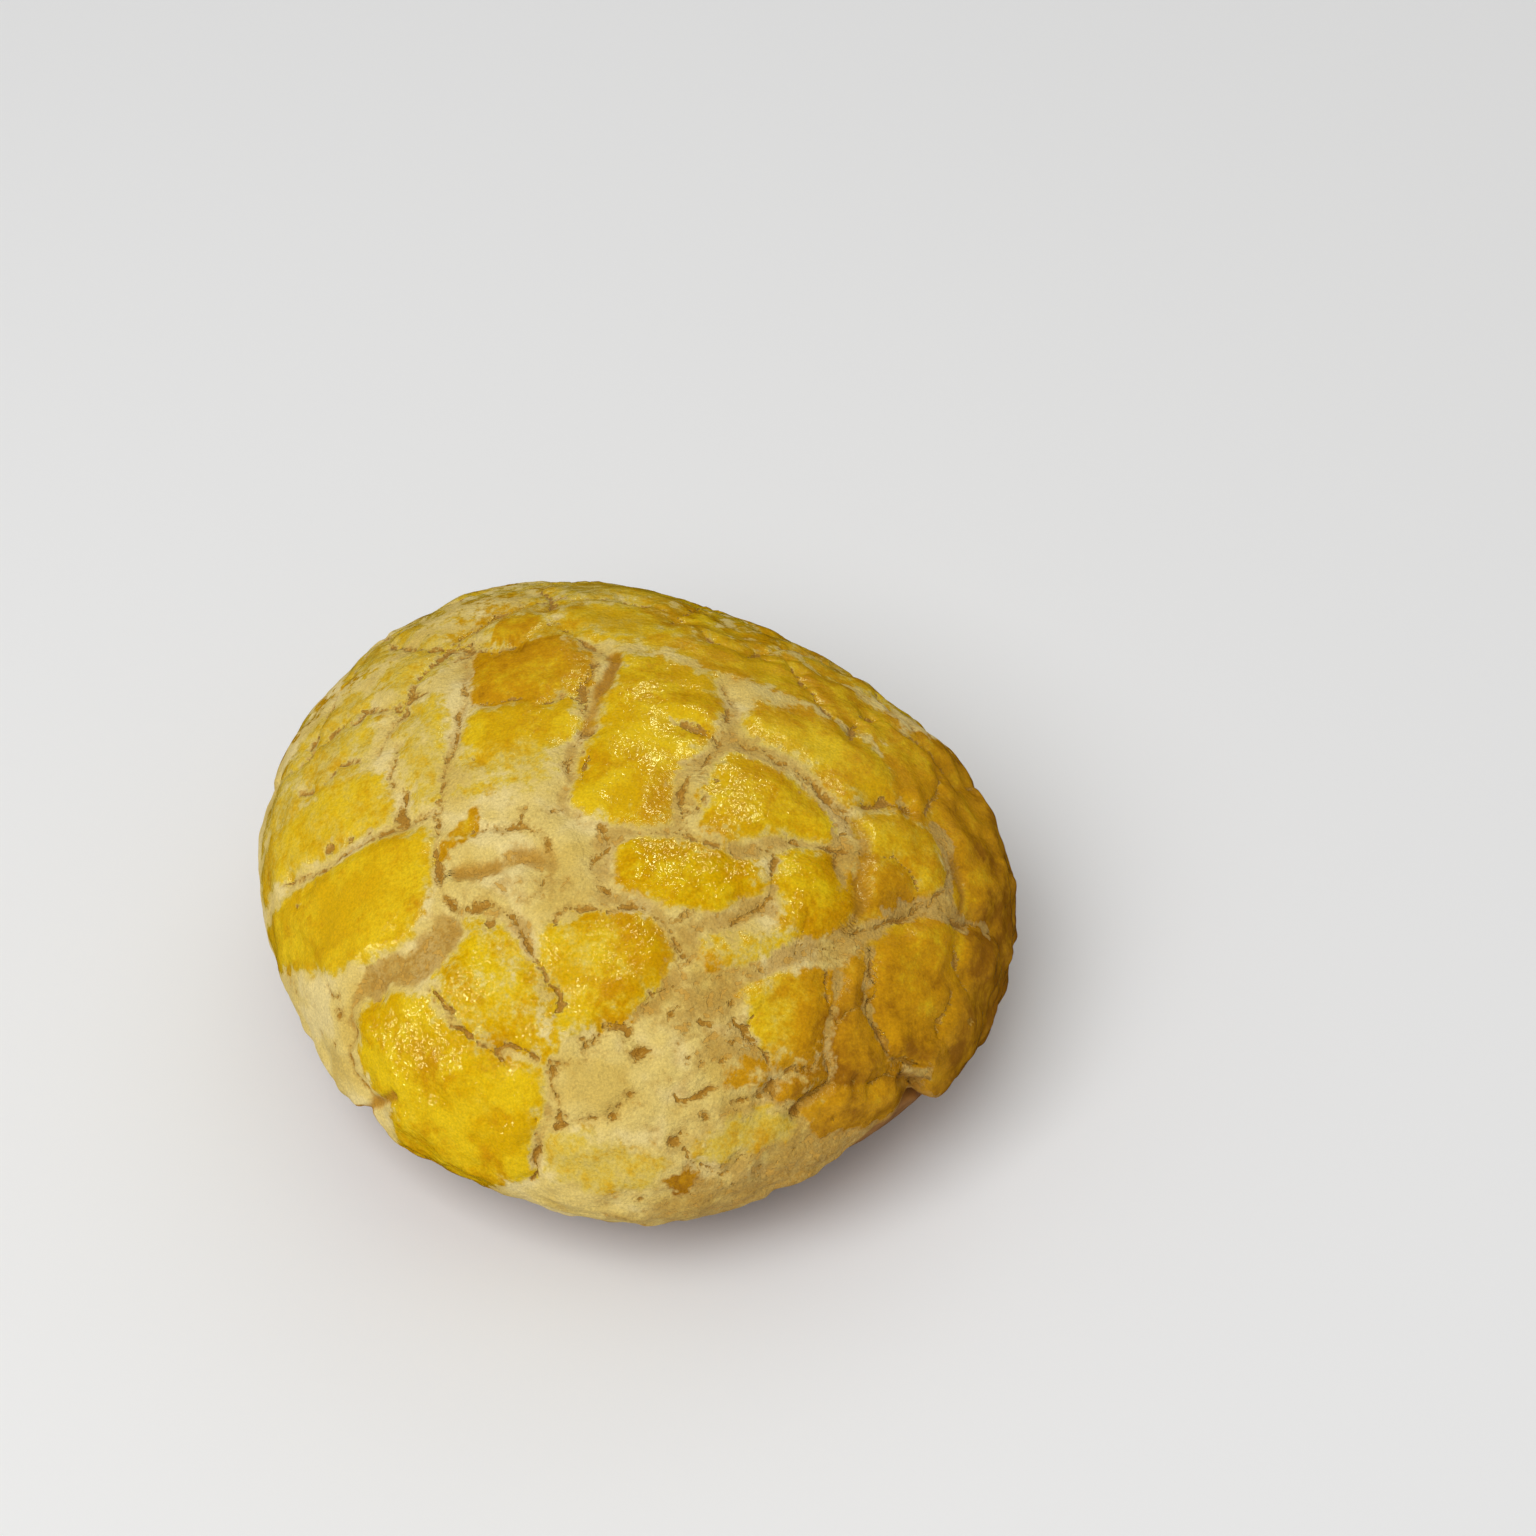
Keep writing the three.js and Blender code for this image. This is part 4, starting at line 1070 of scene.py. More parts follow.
def give_field(piece, name, values):
    """An attribute of one number a point, which the materials read by its name."""
    piece.data.attributes.new(name, "FLOAT", "POINT").data.foreach_set("value", values.astype(np.float32))


def give_uv(piece, uv):
    """A UV map named dough: the place on the flat disc in decimetres, so all of it is between -1 and 1."""
    loops = np.zeros(len(piece.data.loops), np.int32)
    piece.data.loops.foreach_get("vertex_index", loops)
    layer = piece.data.uv_layers.new(name="dough")
    layer.data.foreach_set("uv", (uv[loops] / DECIMETRE).astype(np.float32).ravel())


print("a quad between two rings of four corners:", ring_faces(np.arange(4), np.arange(4, 8))[0])

# %% [markdown]
# The solid's crust is three millimetres thick, so the lip's rows lead from the outer face round the edge to
# that depth. Nobody sees the inside, so a few rings with an eighth of the corners close it.

# %% The crust's mesh
CRUST_THICKNESS, LIP_THINNING = 3.0, 0.4
ROUNDING_START = 1.6
# (distance past the edge, share of the thickness under the outer face)
LIP_ROWS = [(-0.9, 0.02), (-0.3, 0.1), (0.2, 0.25), (0.45, 0.5), (0.3, 0.78), (-0.4, 0.95)]
# the inside has this many rings, each with this many times fewer corners than the lip
INSIDE_RINGS, COARSE = 7, 8
MASKS, UNCRACKED = list(masks), 4.0


def coarse_faces(fine, coarse):
    """Triangles between a ring and one with COARSE times fewer corners: each coarse corner is joined to the
    fine sides next to it, and each coarse side to the fine corner at its middle."""
    spread = (np.arange(COARSE) - COARSE // 2)[None, :]
    start = (np.arange(len(coarse))[:, None] * COARSE + spread) % len(fine)
    end = (start + 1) % len(fine)
    owner = np.repeat(coarse, COARSE)
    fans = np.stack([fine[start.ravel()], owner, fine[end.ravel()]], -1)
    middle = fine[(np.arange(len(coarse)) * COARSE + COARSE // 2) % len(fine)]
    return fans, np.stack([middle, coarse, np.roll(coarse, -1)], -1)


def crust_top():
    """The outer face as a grid whose points are drawn towards the cracks, all but its border."""
    share, phi = polar(disc_grid(GRID))
    uv = flat(share * (rim(phi) - ROUNDING_START), phi)
    border = grid_border(GRID)
    free = np.ones(len(uv), bool)
    free[border] = False
    uv[free] = drawn_to_cracks(uv[free])
    relief, masks = crust_fields(uv)
    return (lifted(*polar(uv), relief), uv, masks), border, phi[border]


def lip_row(phi, past, depth):
    """One row of the lip: the relief fades and the row sinks to the inside as depth goes from 0 to 1."""
    rho = rim(phi) + past
    uv = flat(rho, phi)
    relief, masks = crust_fields(uv)
    lift = relief * (1 - depth) - (CRUST_THICKNESS - LIP_THINNING) * depth
    return lifted(rho, phi, lift), uv, masks


def inside_row(phi, share):
    """One coarse ring of the hidden inside, a share of the way from the top to the edge. It is bare dough."""
    rho = share * (rim(phi) - ROUNDING_START)
    thickness = CRUST_THICKNESS - LIP_THINNING * ramp(0.8, 1, np.array(share))
    masks = {name: np.full(len(phi), UNCRACKED if name == "crack_edge" else 0.0) for name in MASKS}
    return lifted(rho, phi, np.full(len(phi), -thickness)), flat(rho, phi), masks


print("rows of the lip:", len(LIP_ROWS), "and rings inside:", INSIDE_RINGS)

# %% The crust as one mesh


def crust_piece():
    """The outer face, the lip's rows, the inside's rings and a closing fan, joined into one closed mesh."""
    top, ring, phi = crust_top()
    rows, quads = [top], [grid_faces(GRID)]
    count = len(top[1])
    for past, depth in LIP_ROWS:
        rows.append(lip_row(phi, past, depth))
        below = count + np.arange(len(phi))
        quads.append(ring_faces(ring, below))
        ring, count = below, count + len(phi)
    coarse = phi[::COARSE]
    inner = count + np.arange(len(coarse))
    fans, bridges = coarse_faces(ring, inner)
    for k in range(INSIDE_RINGS, 0, -1):
        rows.append(inside_row(coarse, k / INSIDE_RINGS))
        if k < INSIDE_RINGS:
            quads.append(ring_faces(inner - len(coarse), inner))
        count, inner = count + len(coarse), inner + len(coarse)
    rows.append(inside_row(np.zeros(1), 0.0))
    last = inner - len(coarse)
    closing = np.stack([last, np.full(len(last), count), np.roll(last, -1)], -1)
    triangles = np.concatenate([fans, bridges, closing])
    points = np.concatenate([row[0] for row in rows])
    piece = new_piece("cookie_crust", points, np.concatenate(quads), triangles)
    for name in MASKS:
        give_field(piece, name, np.concatenate([row[2][name] for row in rows]))
    give_uv(piece, np.concatenate([row[1] for row in rows]))
    return piece


crust = crust_piece()

# %% [markdown]
# ## The bread
# The bread carries the crust. Under it the bread's skin keeps clear, past its edge it swells out almost
# flush, and below it turns in to the flat base. Rings are fine here, because the top of the bread is hidden.

# %% The bread's mesh
CRUST_GAP, BREAD_INSET = 0.4, 1.0
SWELL_START, SWELL_END = 1.4, 4.6
SKIRT_START, SKIRT_CURVE, SKIRT_BULGE, BASE_RADIUS = 84.0, 1.3, 0.5, 34.0
SKIN_HEIGHT, SKIN_SIZE, BULGE_SIZE = 0.10, 7, 9
AROUND = 540
HIDDEN_RHOS = [8, 16, 24, 32, 40, 48, 54]
BARE_RHOS = np.linspace(58, SKIRT_START, 40)
SKIRT_SHARES = np.linspace(0, 1, 25)[1:]
BASE_SHARES = [0.985, 0.9, 0.7, 0.45, 0.2]
# a point of the skirt or the base counts as this far past the crust
FAR_PAST = 30.0


def bread_surface(rho, phi):
    """Offset under the round form: crust and gap where it is covered, the inset where it is bare."""
    swell = ramp(SWELL_START, SWELL_END, rho - rim(phi))
    skin = SKIN_HEIGHT * rough(flat(rho, phi), SKIN_SIZE, 41, 3) * swell
    covered = CRUST_THICKNESS + CRUST_GAP
    return lifted(rho, phi, skin - (covered + (BREAD_INSET - covered) * swell))


def bread_skirt(share, phi):
    """From the end of the round form to the foot: straight inwards, and down by the share left to a power."""
    start = bread_surface(np.full(len(phi), SKIRT_START), phi)
    foot = BASE_RADIUS * outline_radius(phi) / BUN_RADIUS
    r = np.linalg.norm(start[:, :2], axis=1) * (1 - share) + foot * share
    uneven = 1 + 0.5 * rough(flat(40, phi) + 20 * share, BULGE_SIZE, 43)
    bulge = SKIRT_BULGE * np.sin(np.pi * share) * uneven
    z = start[:, 2] * (1 - share) ** SKIRT_CURVE
    return np.stack([(r + bulge) * np.cos(phi), (r + bulge) * np.sin(phi), z], -1)


def bread_piece():
    """A point at the top, rings down to the foot, flat rings under the base, and a point in its middle."""
    phi = np.linspace(0, 2 * np.pi, AROUND, endpoint=False)
    rows = [bread_surface(np.full(AROUND, float(rho)), phi) for rho in [*HIDDEN_RHOS, *BARE_RHOS]]
    rows += [bread_skirt(share, phi) for share in SKIRT_SHARES]
    foot = rows[-1]
    rows += [foot * (share, share, 0) for share in BASE_SHARES]
    points = np.concatenate([bread_surface(np.zeros(1), np.zeros(1)), *rows, np.zeros((1, 3))])
    rings = 1 + np.arange(len(rows) * AROUND).reshape(len(rows), AROUND)
    quads = np.concatenate([ring_faces(a, b) for a, b in zip(rings[:-1], rings[1:])])
    top = np.stack([np.zeros(AROUND, int), rings[0], np.roll(rings[0], -1)], -1)
    bottom = np.stack([rings[-1], np.full(AROUND, len(points) - 1), np.roll(rings[-1], -1)], -1)
    piece = new_piece("baked_bread", points, quads, np.concatenate([top, bottom]))
    past = np.full(len(points), FAR_PAST)
    for k, rho in enumerate([*HIDDEN_RHOS, *BARE_RHOS]):
        past[1 + k * AROUND : 1 + (k + 1) * AROUND] = rho - rim(phi)
    give_field(piece, "past_crust", np.clip(past, -2, FAR_PAST))
    return piece


bread = bread_piece()

# %% [markdown]
# ## Finishes
# A finish on food is mostly a matter of which thing shows where: bare dough, stretched dough, wash, browned
# wash, a crack. The fields on the mesh say so to the millimetre, and noise in the material frays their edges.
# Small helpers keep the node trees short. Colours are written the way a picture shows them and turned into
# the linear values that the renderer works with.

# %% Colours and nodes


def shown(red, green, blue):
    """A colour from 0 to 255 as linear values: ((c + 0.055) / 1.055) to the power 2.4."""
    return (*(((np.array([red, green, blue]) / 255 + 0.055) / 1.055) ** 2.4).tolist(), 1.0)


def add(tree, kind, inputs=None, **settings):
    """A new node: settings are its own properties, inputs are links if they are sockets and values if not."""
    made = tree.nodes.new(kind)
    for name, value in settings.items():
        setattr(made, name, value)
    for name, value in (inputs or {}).items():
        if isinstance(value, bpy.types.NodeSocket):
            tree.links.new(value, made.inputs[name])
        else:
            made.inputs[name].default_value = value
    return made


def maths(tree, operation, a, b=0.0, c=0.0):
    """One sum: MULTIPLY_ADD gives a times b plus c."""
    return add(tree, "ShaderNodeMath", {0: a, 1: b, 2: c}, operation=operation).outputs[0]


def between(tree, value, low, high, start=0.0, end=1.0):
    """start where value is under low, end where it is over high, smooth in between."""
    inputs = {"Value": value, "From Min": low, "From Max": high, "To Min": start, "To Max": end}
    return add(tree, "ShaderNodeMapRange", inputs, interpolation_type="SMOOTHSTEP").outputs[0]


def blend(tree, share, first, second):
    """The first colour where share is 0, the second where it is 1."""
    inputs = {0: share, 6: first, 7: second}
    return add(tree, "ShaderNodeMix", inputs, data_type="RGBA", clamp_factor=True).outputs[2]


def noise(tree, where, size, detail=2.0, roughness=0.5):
    """Noise from 0 to 1 with hills about size across, in the units of where."""
    inputs = {"Vector": where, "Scale": 1 / size, "Detail": detail, "Roughness": roughness}
    return add(tree, "ShaderNodeTexNoise", inputs).outputs["Fac"]


print("mid grey 128 as a linear value:", round(shown(128, 128, 128)[0], 3))

# %% Fields and places in a material


def field(tree, name):
    """One of the mesh's attributes as a value."""
    return add(tree, "ShaderNodeAttribute", attribute_name=name).outputs["Fac"]


def millimetres(tree):
    """Object coordinates in millimetres, which stay put on a piece whose object is at the origin."""
    where = add(tree, "ShaderNodeTexCoord").outputs["Object"]
    return add(tree, "ShaderNodeVectorMath", {0: where, "Scale": 1000.0}, operation="SCALE").outputs[0]


def new_finish(name):
    """A material with a Principled BSDF and an output, its node tree, and that BSDF."""
    finish = bpy.data.materials.new(name)
    finish.use_nodes = True
    tree = finish.node_tree
    tree.nodes.clear()
    surface = add(tree, "ShaderNodeBsdfPrincipled")
    add(tree, "ShaderNodeOutputMaterial", {"Surface": surface.outputs[0]})
    return finish, tree, surface

print("fields on the crust:", ", ".join(name for name in MASKS if name in crust.data.attributes))

# %% [markdown]
# A node group is a part of a node tree that is built once and placed in several materials, each time with
# its own values. Its sockets are named, so a material sets them by name.

# %% Node groups


def new_group(name, inputs, outputs):
    """An empty node group; inputs are (name, kind, default), outputs are (name, kind)."""
    group = bpy.data.node_groups.new(name, "ShaderNodeTree")
    for label, kind, default in inputs:
        socket = group.interface.new_socket(label, in_out="INPUT", socket_type=kind)
        socket.default_value = default
    for label, kind in outputs:
        group.interface.new_socket(label, in_out="OUTPUT", socket_type=kind)
    return group, add(group, "NodeGroupInput").outputs, add(group, "NodeGroupOutput")


def use(tree, group, **inputs):
    """Places a group and gives its outputs; tear_size=1.9 sets the input named Tear Size."""
    made = tree.nodes.new("ShaderNodeGroup")
    made.node_tree = group
    for label, value in inputs.items():
        label = label.replace("_", " ").title()
        if isinstance(value, bpy.types.NodeSocket):
            tree.links.new(value, made.inputs[label])
        else:
            made.inputs[label].default_value = value
    return made.outputs


print("node groups so far:", len(bpy.data.node_groups))

# %% [markdown]
# Two effects are on both pieces, so each is a node group: crumb, the grain of baked flour with its short
# tears, and oven colour, the uneven browning that makes a crust look baked and not painted.

# %% The crumb group


def group_noise(group, where, scale, **settings):
    """Noise in a group, where the scale is a link and not a number."""
    inputs = {"Vector": where, "Scale": scale, "Detail": 2.0, "Roughness": 0.6, **settings}
    return add(group, "ShaderNodeTexNoise", inputs).outputs["Fac"]


def crumb_group():
    """Height about 0: grains of one size with finer ones on them. Tears from 0 to 1: short torn lines, where
    one noise is close to its middle value and another one, finer, is high enough to let them open."""
    inputs = [
        ("Size", "NodeSocketFloat", 0.7), ("Tear Size", "NodeSocketFloat", 1.8),
        ("Torn", "NodeSocketFloat", 0.5),
    ]
    outputs = [("Height", "NodeSocketFloat"), ("Tears", "NodeSocketFloat")]
    group, given, out = new_group("crumb", inputs, outputs)
    where = millimetres(group)
    grain = group_noise(group, where, maths(group, "DIVIDE", 1.0, given["Size"]))
    group.links.new(maths(group, "SUBTRACT", grain, 0.5), out.inputs["Height"])
    scale = maths(group, "DIVIDE", 1.0, given["Tear Size"])
    hill = group_noise(group, where, scale)
    line = maths(group, "ABSOLUTE", maths(group, "SUBTRACT", hill, 0.5))
    finer = maths(group, "MULTIPLY", scale, 1.4)
    gate = group_noise(group, where, finer, Detail=1.0, Roughness=0.5)
    width = maths(group, "SUBTRACT", maths(group, "ADD", gate, given["Torn"]), 1.0)
    width = maths(group, "MULTIPLY", width, 0.8)
    tears = between(group, maths(group, "SUBTRACT", line, width), 0.0, -0.02)
    group.links.new(tears, out.inputs["Tears"])
    return group


CRUMB = crumb_group()
print("crumb group:", len(CRUMB.nodes), "nodes")

# %% The oven colour group


def oven_group():
    """Turns a colour browner: first lighter and redder tan, then brown, by an amount that noise breaks up."""
    inputs = [
        ("Color", "NodeSocketColor", (1, 1, 1, 1)), ("Tan", "NodeSocketColor", (1, 1, 1, 1)),
        ("Brown", "NodeSocketColor", (1, 1, 1, 1)), ("Amount", "NodeSocketFloat", 0.0),
        ("Patch Size", "NodeSocketFloat", 3.0),
    ]
    group, given, out = new_group("oven colour", inputs, [("Color", "NodeSocketColor")])
    patches = group_noise(group, millimetres(group), maths(group, "DIVIDE", 1.0, given["Patch Size"]))
    swing = maths(group, "MULTIPLY_ADD", patches, 1.1, -0.55)
    uneven = maths(group, "MULTIPLY", given["Amount"], maths(group, "ADD", swing, 1.0))
    first = between(group, uneven, 0.0, 0.55)
    second = between(group, uneven, 0.45, 1.05)
    toasted = blend(group, first, given["Color"], given["Tan"])
    group.links.new(blend(group, second, toasted, given["Brown"]), out.inputs["Color"])
    return group


OVEN = oven_group()
print("oven colour group:", len(OVEN.nodes), "nodes")

# %% [markdown]
# ## The crust's finish
# Layer by layer, as it came about: pale dough, tan where it stretched, yolk over it where it was brushed,
# orange where the yolk browned, and brown in the folds, where it also paints the shade of their valleys, and
# in the cracks. The wash is smooth and catches sharp
# glints on its wrinkles; bare dough is matt and grainy. Each layer is a function of its own, and all of them
# share a few noises, so that an edge frays the same way in colour, gloss and height.

# %% Colours of the crust
CREAM, PALE_DOUGH, WARM_DOUGH = shown(230, 206, 134), shown(222, 194, 108), shown(212, 180, 88)
STRETCHED, TOASTED = shown(180, 136, 50), shown(184, 132, 30)
THIN_WASH, LIGHT_WASH, THICK_WASH = shown(218, 190, 82), shown(228, 190, 20), shown(216, 170, 0)
ORANGE_WASH, BROWN_WASH = shown(202, 144, 0), shown(152, 98, 0)
# the last is the brown of the browned edge and of the folds, where it also paints the shade of their valleys
CRACK_INSIDE, CRACK_DEEP, BROWNED_AND_FOLD_SHADE = shown(202, 154, 60), shown(174, 124, 32), shown(166, 112, 8)
print("pale dough as linear values:", [round(c, 2) for c in PALE_DOUGH[:3]])

# %% Noises that the layers share
# in millimetres
NOISE_SIZES = dict(slow=7, mid=2.4, flecks=0.9, fine=0.6, grain=0.3)
# how far fine noise and flecks fray the edge of a crack in millimetres, and how much wider they make it
FRAY_FINE, FRAY_FLECKS, WIDER = 0.9, 1.1, 0.55


def crust_noises(tree):
    """By name: where a point is in millimetres, slow, mid and fine noise, flecks, the dough's fine grain and
    its crumb, the distance to a crack's edge and the same frayed by noise."""
    where = millimetres(tree)
    mid = maths(tree, "SUBTRACT", noise(tree, where, NOISE_SIZES["mid"], 2, 0.6), 0.5)
    fine = maths(tree, "SUBTRACT", noise(tree, where, NOISE_SIZES["fine"], 1, 0.65), 0.5)
    flecks = maths(tree, "ADD", noise(tree, where, NOISE_SIZES["flecks"], 2, 0.7), mid)
    edge = field(tree, "crack_edge")
    frayed = maths(tree, "MULTIPLY_ADD", flecks, FRAY_FLECKS, edge)
    frayed = maths(tree, "MULTIPLY_ADD", fine, FRAY_FINE, frayed)
    return dict(
        where=where, mid=mid, flecks=flecks, edge=edge,
        frayed=maths(tree, "SUBTRACT", frayed, WIDER),
        grain=noise(tree, where, NOISE_SIZES["grain"], 1, 0.6),
        slow=noise(tree, where, NOISE_SIZES["slow"], 2),
        crumb=use(tree, CRUMB, size=0.7, tear_size=1.9, torn=0.46),
    )


print("sizes of noise in mm:", NOISE_SIZES)

# %% [markdown]
# A brush leaves the wash uneven: it misses the seams, thins out towards a patch's edge, and shows streaks
# and flecks where there is little of it. Where it is glossy the flecks are stronger, and they paint in the
# pale sheen of its glints. So how thick it lies is worked out first, as one number.

# %% Where the wash covers the dough
# how far noise and flecks fray the edge of a patch, in millimetres, and how much browned wash fills cracks
FRAY_PATCH, FLECK_PATCH, FILLS_CRACKS = 3.2, 1.2, 1.2
# from nothing to full, in millimetres: what the patch covers, and what seams and cracks leave of it
COVERS, SEAMS_LEAVE, CRACKS_LEAVE = (-1.6, 0.3), (0.8, -0.4), (-0.6, 0.4)


def wash_cover(tree, shared):
    """From 0 to 1, where a patch covers the dough: the depth inside it frayed by noise, less the seams and
    the cracks, which stay bare, less so where the wash browned. The distance to where it is wiped off and
    the flecks about 0 are returned too."""
    blots = maths(tree, "SUBTRACT", shared["flecks"], 0.5)
    noisy = maths(tree, "MULTIPLY", blots, FLECK_PATCH)
    noisy = maths(tree, "MULTIPLY_ADD", shared["mid"], FRAY_PATCH, noisy)
    covered = between(tree, maths(tree, "ADD", field(tree, "wash_depth"), noisy), *COVERS)
    clear = between(tree, maths(tree, "ADD", field(tree, "seam_depth"), noisy), *SEAMS_LEAVE)
    near = maths(tree, "ADD", shared["edge"], noisy)
    wiped = maths(tree, "MULTIPLY_ADD", field(tree, "wash_orange"), FILLS_CRACKS, near)
    clear = maths(tree, "MULTIPLY", clear, between(tree, wiped, *CRACKS_LEAVE))
    return maths(tree, "MULTIPLY", covered, clear), wiped, blots


print("noise frays a patch by about", FRAY_PATCH / 2, "mm to either side")

# %% How thick the wash lies
# the strokes are turned by this angle in radians; this many hills of noise lie in a decimetre each way
BRUSH_TURN, BRUSH_SCALE = 1.0, (42.0, 22.0)
# the wash is weaker at the edge of a patch: by which noise and over which depths, and how much it keeps
MIDDLE_NOISE, MIDDLE_FROM, MIDDLE_ADDS, EDGE_KEEPS = 6.0, (-0.6, 1.3), 0.35, 0.65
# how much thin wash is mottled where it is glossy, where the mottle also paints a pale sheen, and anywhere;
# how much all wash is; and from which strength to which it goes from nothing to full
GLOSSY_SHEEN_MOTTLE, THIN_MOTTLE, MOTTLE, LAID_FROM = 2.6, 0.2, 0.25, (-0.05, 0.95)


def brush_streaks(tree):
    """Noise on the flat disc, about 0, drawn out along the brush: finer across the strokes than along."""
    dough = add(tree, "ShaderNodeUVMap", uv_map="dough").outputs[0]
    inputs = {0: dough, 2: (0, 0, BRUSH_TURN), 3: (*BRUSH_SCALE, 1.0)}
    brushed = add(tree, "ShaderNodeMapping", inputs).outputs[0]
    inputs = {"Vector": brushed, "Scale": 1.0, "Detail": 2.0, "Roughness": 0.6}
    return maths(tree, "SUBTRACT", add(tree, "ShaderNodeTexNoise", inputs).outputs["Fac"], 0.5)


def wash_share(tree, shared):
    """How thick the wash lies, from 0 to 1: its cover times its strength. Where it is thin, near its edge and
    in weak patches, flecks and streaks mottle it, most of all where it is glossy, where the stronger mottle
    also paints a pale sheen."""
    cover, wiped, blots = wash_cover(tree, shared)
    middle = maths(tree, "MULTIPLY_ADD", shared["mid"], MIDDLE_NOISE, field(tree, "wash_depth"))
    middle = between(tree, maths(tree, "MINIMUM", middle, wiped), *MIDDLE_FROM)
    middle = maths(tree, "MULTIPLY_ADD", middle, MIDDLE_ADDS, EDGE_KEEPS)
    strength = maths(tree, "MULTIPLY", field(tree, "wash_strength"), middle)
    swing = maths(tree, "ADD", brush_streaks(tree), blots)
    # where the wash is glossy the mottle is stronger: a painted pale sheen of the glints over the real mottle
    # of thin wash
    mottle_and_sheen = maths(tree, "MULTIPLY_ADD", field(tree, "wash_gloss"), GLOSSY_SHEEN_MOTTLE, THIN_MOTTLE)
    mottle_and_sheen = maths(tree, "MULTIPLY_ADD", maths(tree, "SUBTRACT", 1.0, strength), mottle_and_sheen, MOTTLE)
    laid = between(tree, maths(tree, "MULTIPLY_ADD", swing, mottle_and_sheen, strength), *LAID_FROM)
    return maths(tree, "MULTIPLY", cover, laid)


print("streaks in mm:", [round(DECIMETRE / count, 1) for count in BRUSH_SCALE])

# %% [markdown]
# Bare dough is pale. Beside a crack and in the bands it baked to tan. The wash goes from dull yellow, where
# it is thin, to deep yellow, and orange and brown come over it where the oven was hotter.

# %% Dough and wash colours
# how tan the dough is beside a crack, and how little of a band's tan the lightest flecks leave
BESIDE_A_CRACK, LIGHTEST_FLECK = 0.55, 0.72
# from none to all, by slow noise: the pale dough and the warm dough, and the deeper yolk
PALE_FROM, WARM_FROM, DEEPER_FROM_NOISE = (0.36, 0.5), (0.5, 0.66), (0.55, 1.0)
# by the distance from a crack, by the tan field and how much noise breaks it up, and by the flecks
CRACK_TAN, TAN_FROM, TAN_MID, TAN_FLECKS, FLECKED = (0.8, 0.0), (0.1, 0.95), 1.3, 0.6, (0.62, 0.36)
# how much noise moves the yolk's depth of colour and its browning, and how thick it lies when fully yellow
YOLK_SLOW, YOLK_FLECKS, BROWNING_FLECKS, FULL_YELLOW = 1.6, 0.5, 0.6, (0.3, 1.0)


def dough_color(tree, shared):
    """Cream to pale to warm dough by slow noise, and tan over it in the bands and beside the cracks. The tan
    is returned too, because the dough is torn where it stretched."""
    dough = blend(tree, between(tree, shared["slow"], *PALE_FROM), CREAM, PALE_DOUGH)
    dough = blend(tree, between(tree, shared["slow"], *WARM_FROM), dough, WARM_DOUGH)
    halo = between(tree, shared["frayed"], *CRACK_TAN, 0.0, BESIDE_A_CRACK)
    flecked = maths(tree, "MULTIPLY_ADD", shared["flecks"], TAN_FLECKS, -TAN_FLECKS / 2)
    patchy = maths(tree, "MULTIPLY_ADD", shared["mid"], TAN_MID, flecked)
    patchy = maths(tree, "ADD", patchy, field(tree, "tan"))
    tan = maths(tree, "MAXIMUM", between(tree, patchy, *TAN_FROM), halo)
    light = between(tree, shared["flecks"], *FLECKED, LIGHTEST_FLECK, 1.0)
    tan = maths(tree, "MULTIPLY", tan, light)
    return blend(tree, tan, dough, STRETCHED), tan


def wash_color(tree, shared, wash):
    """Dull yellow where the wash is thin, bright to deep yellow where it is thick, and browner where the
    oven was hotter."""
    flecked = maths(tree, "MULTIPLY_ADD", shared["flecks"], YOLK_FLECKS, -YOLK_FLECKS / 2)
    thick = maths(tree, "MULTIPLY_ADD", shared["slow"], YOLK_SLOW, flecked)
    yolk = blend(tree, between(tree, thick, *DEEPER_FROM_NOISE), LIGHT_WASH, THICK_WASH)
    yolk = blend(tree, between(tree, wash, *FULL_YELLOW), THIN_WASH, yolk)
    blots = maths(tree, "SUBTRACT", shared["flecks"], 0.5)
    browning = maths(tree, "MULTIPLY_ADD", blots, BROWNING_FLECKS, field(tree, "wash_orange"))
    inputs = dict(color=yolk, tan=ORANGE_WASH, brown=BROWN_WASH, amount=browning, patch_size=3.5)
    return use(tree, OVEN, **inputs)["Color"]


print("thick wash as linear values:", [round(c, 2) for c in THICK_WASH[:3]])

# %% [markdown]
# Last come the folds, browned inside with the shade of their valleys painted in, the cracks, which are
# browned inside, and short tears in stretched dough. Grain a third of a millimetre wide makes all of it a
# little lighter or darker, or else it would look like plastic.

# %% All the colours of the crust
TEARS_SHOW, DARKEST, GRAIN_LIGHTER = 0.8, 0.69, 0.6
# from none to all: tears by tan, tears by wash, yolk over dough by wash, and in millimetres from the frayed
# edge of a crack its inside and its deepest part
TORN_TAN, TORN_WASH, YOLK_SHOWS = (0.15, 0.5), (0.1, 0.5), (0.0, 0.55)
CRACK_SHOWS, DEEP_SHOWS = (0.10, -0.08), (0.0, -0.25)


def torn_share(tree, shared, tan, wash):
    """The crumb's short tears, from 0 to 1, only where the dough is tan and bare."""
    torn = maths(tree, "MULTIPLY", shared["crumb"]["Tears"], between(tree, tan, *TORN_TAN))
    return maths(tree, "MULTIPLY", torn, between(tree, wash, *TORN_WASH, 1.0, 0.0))


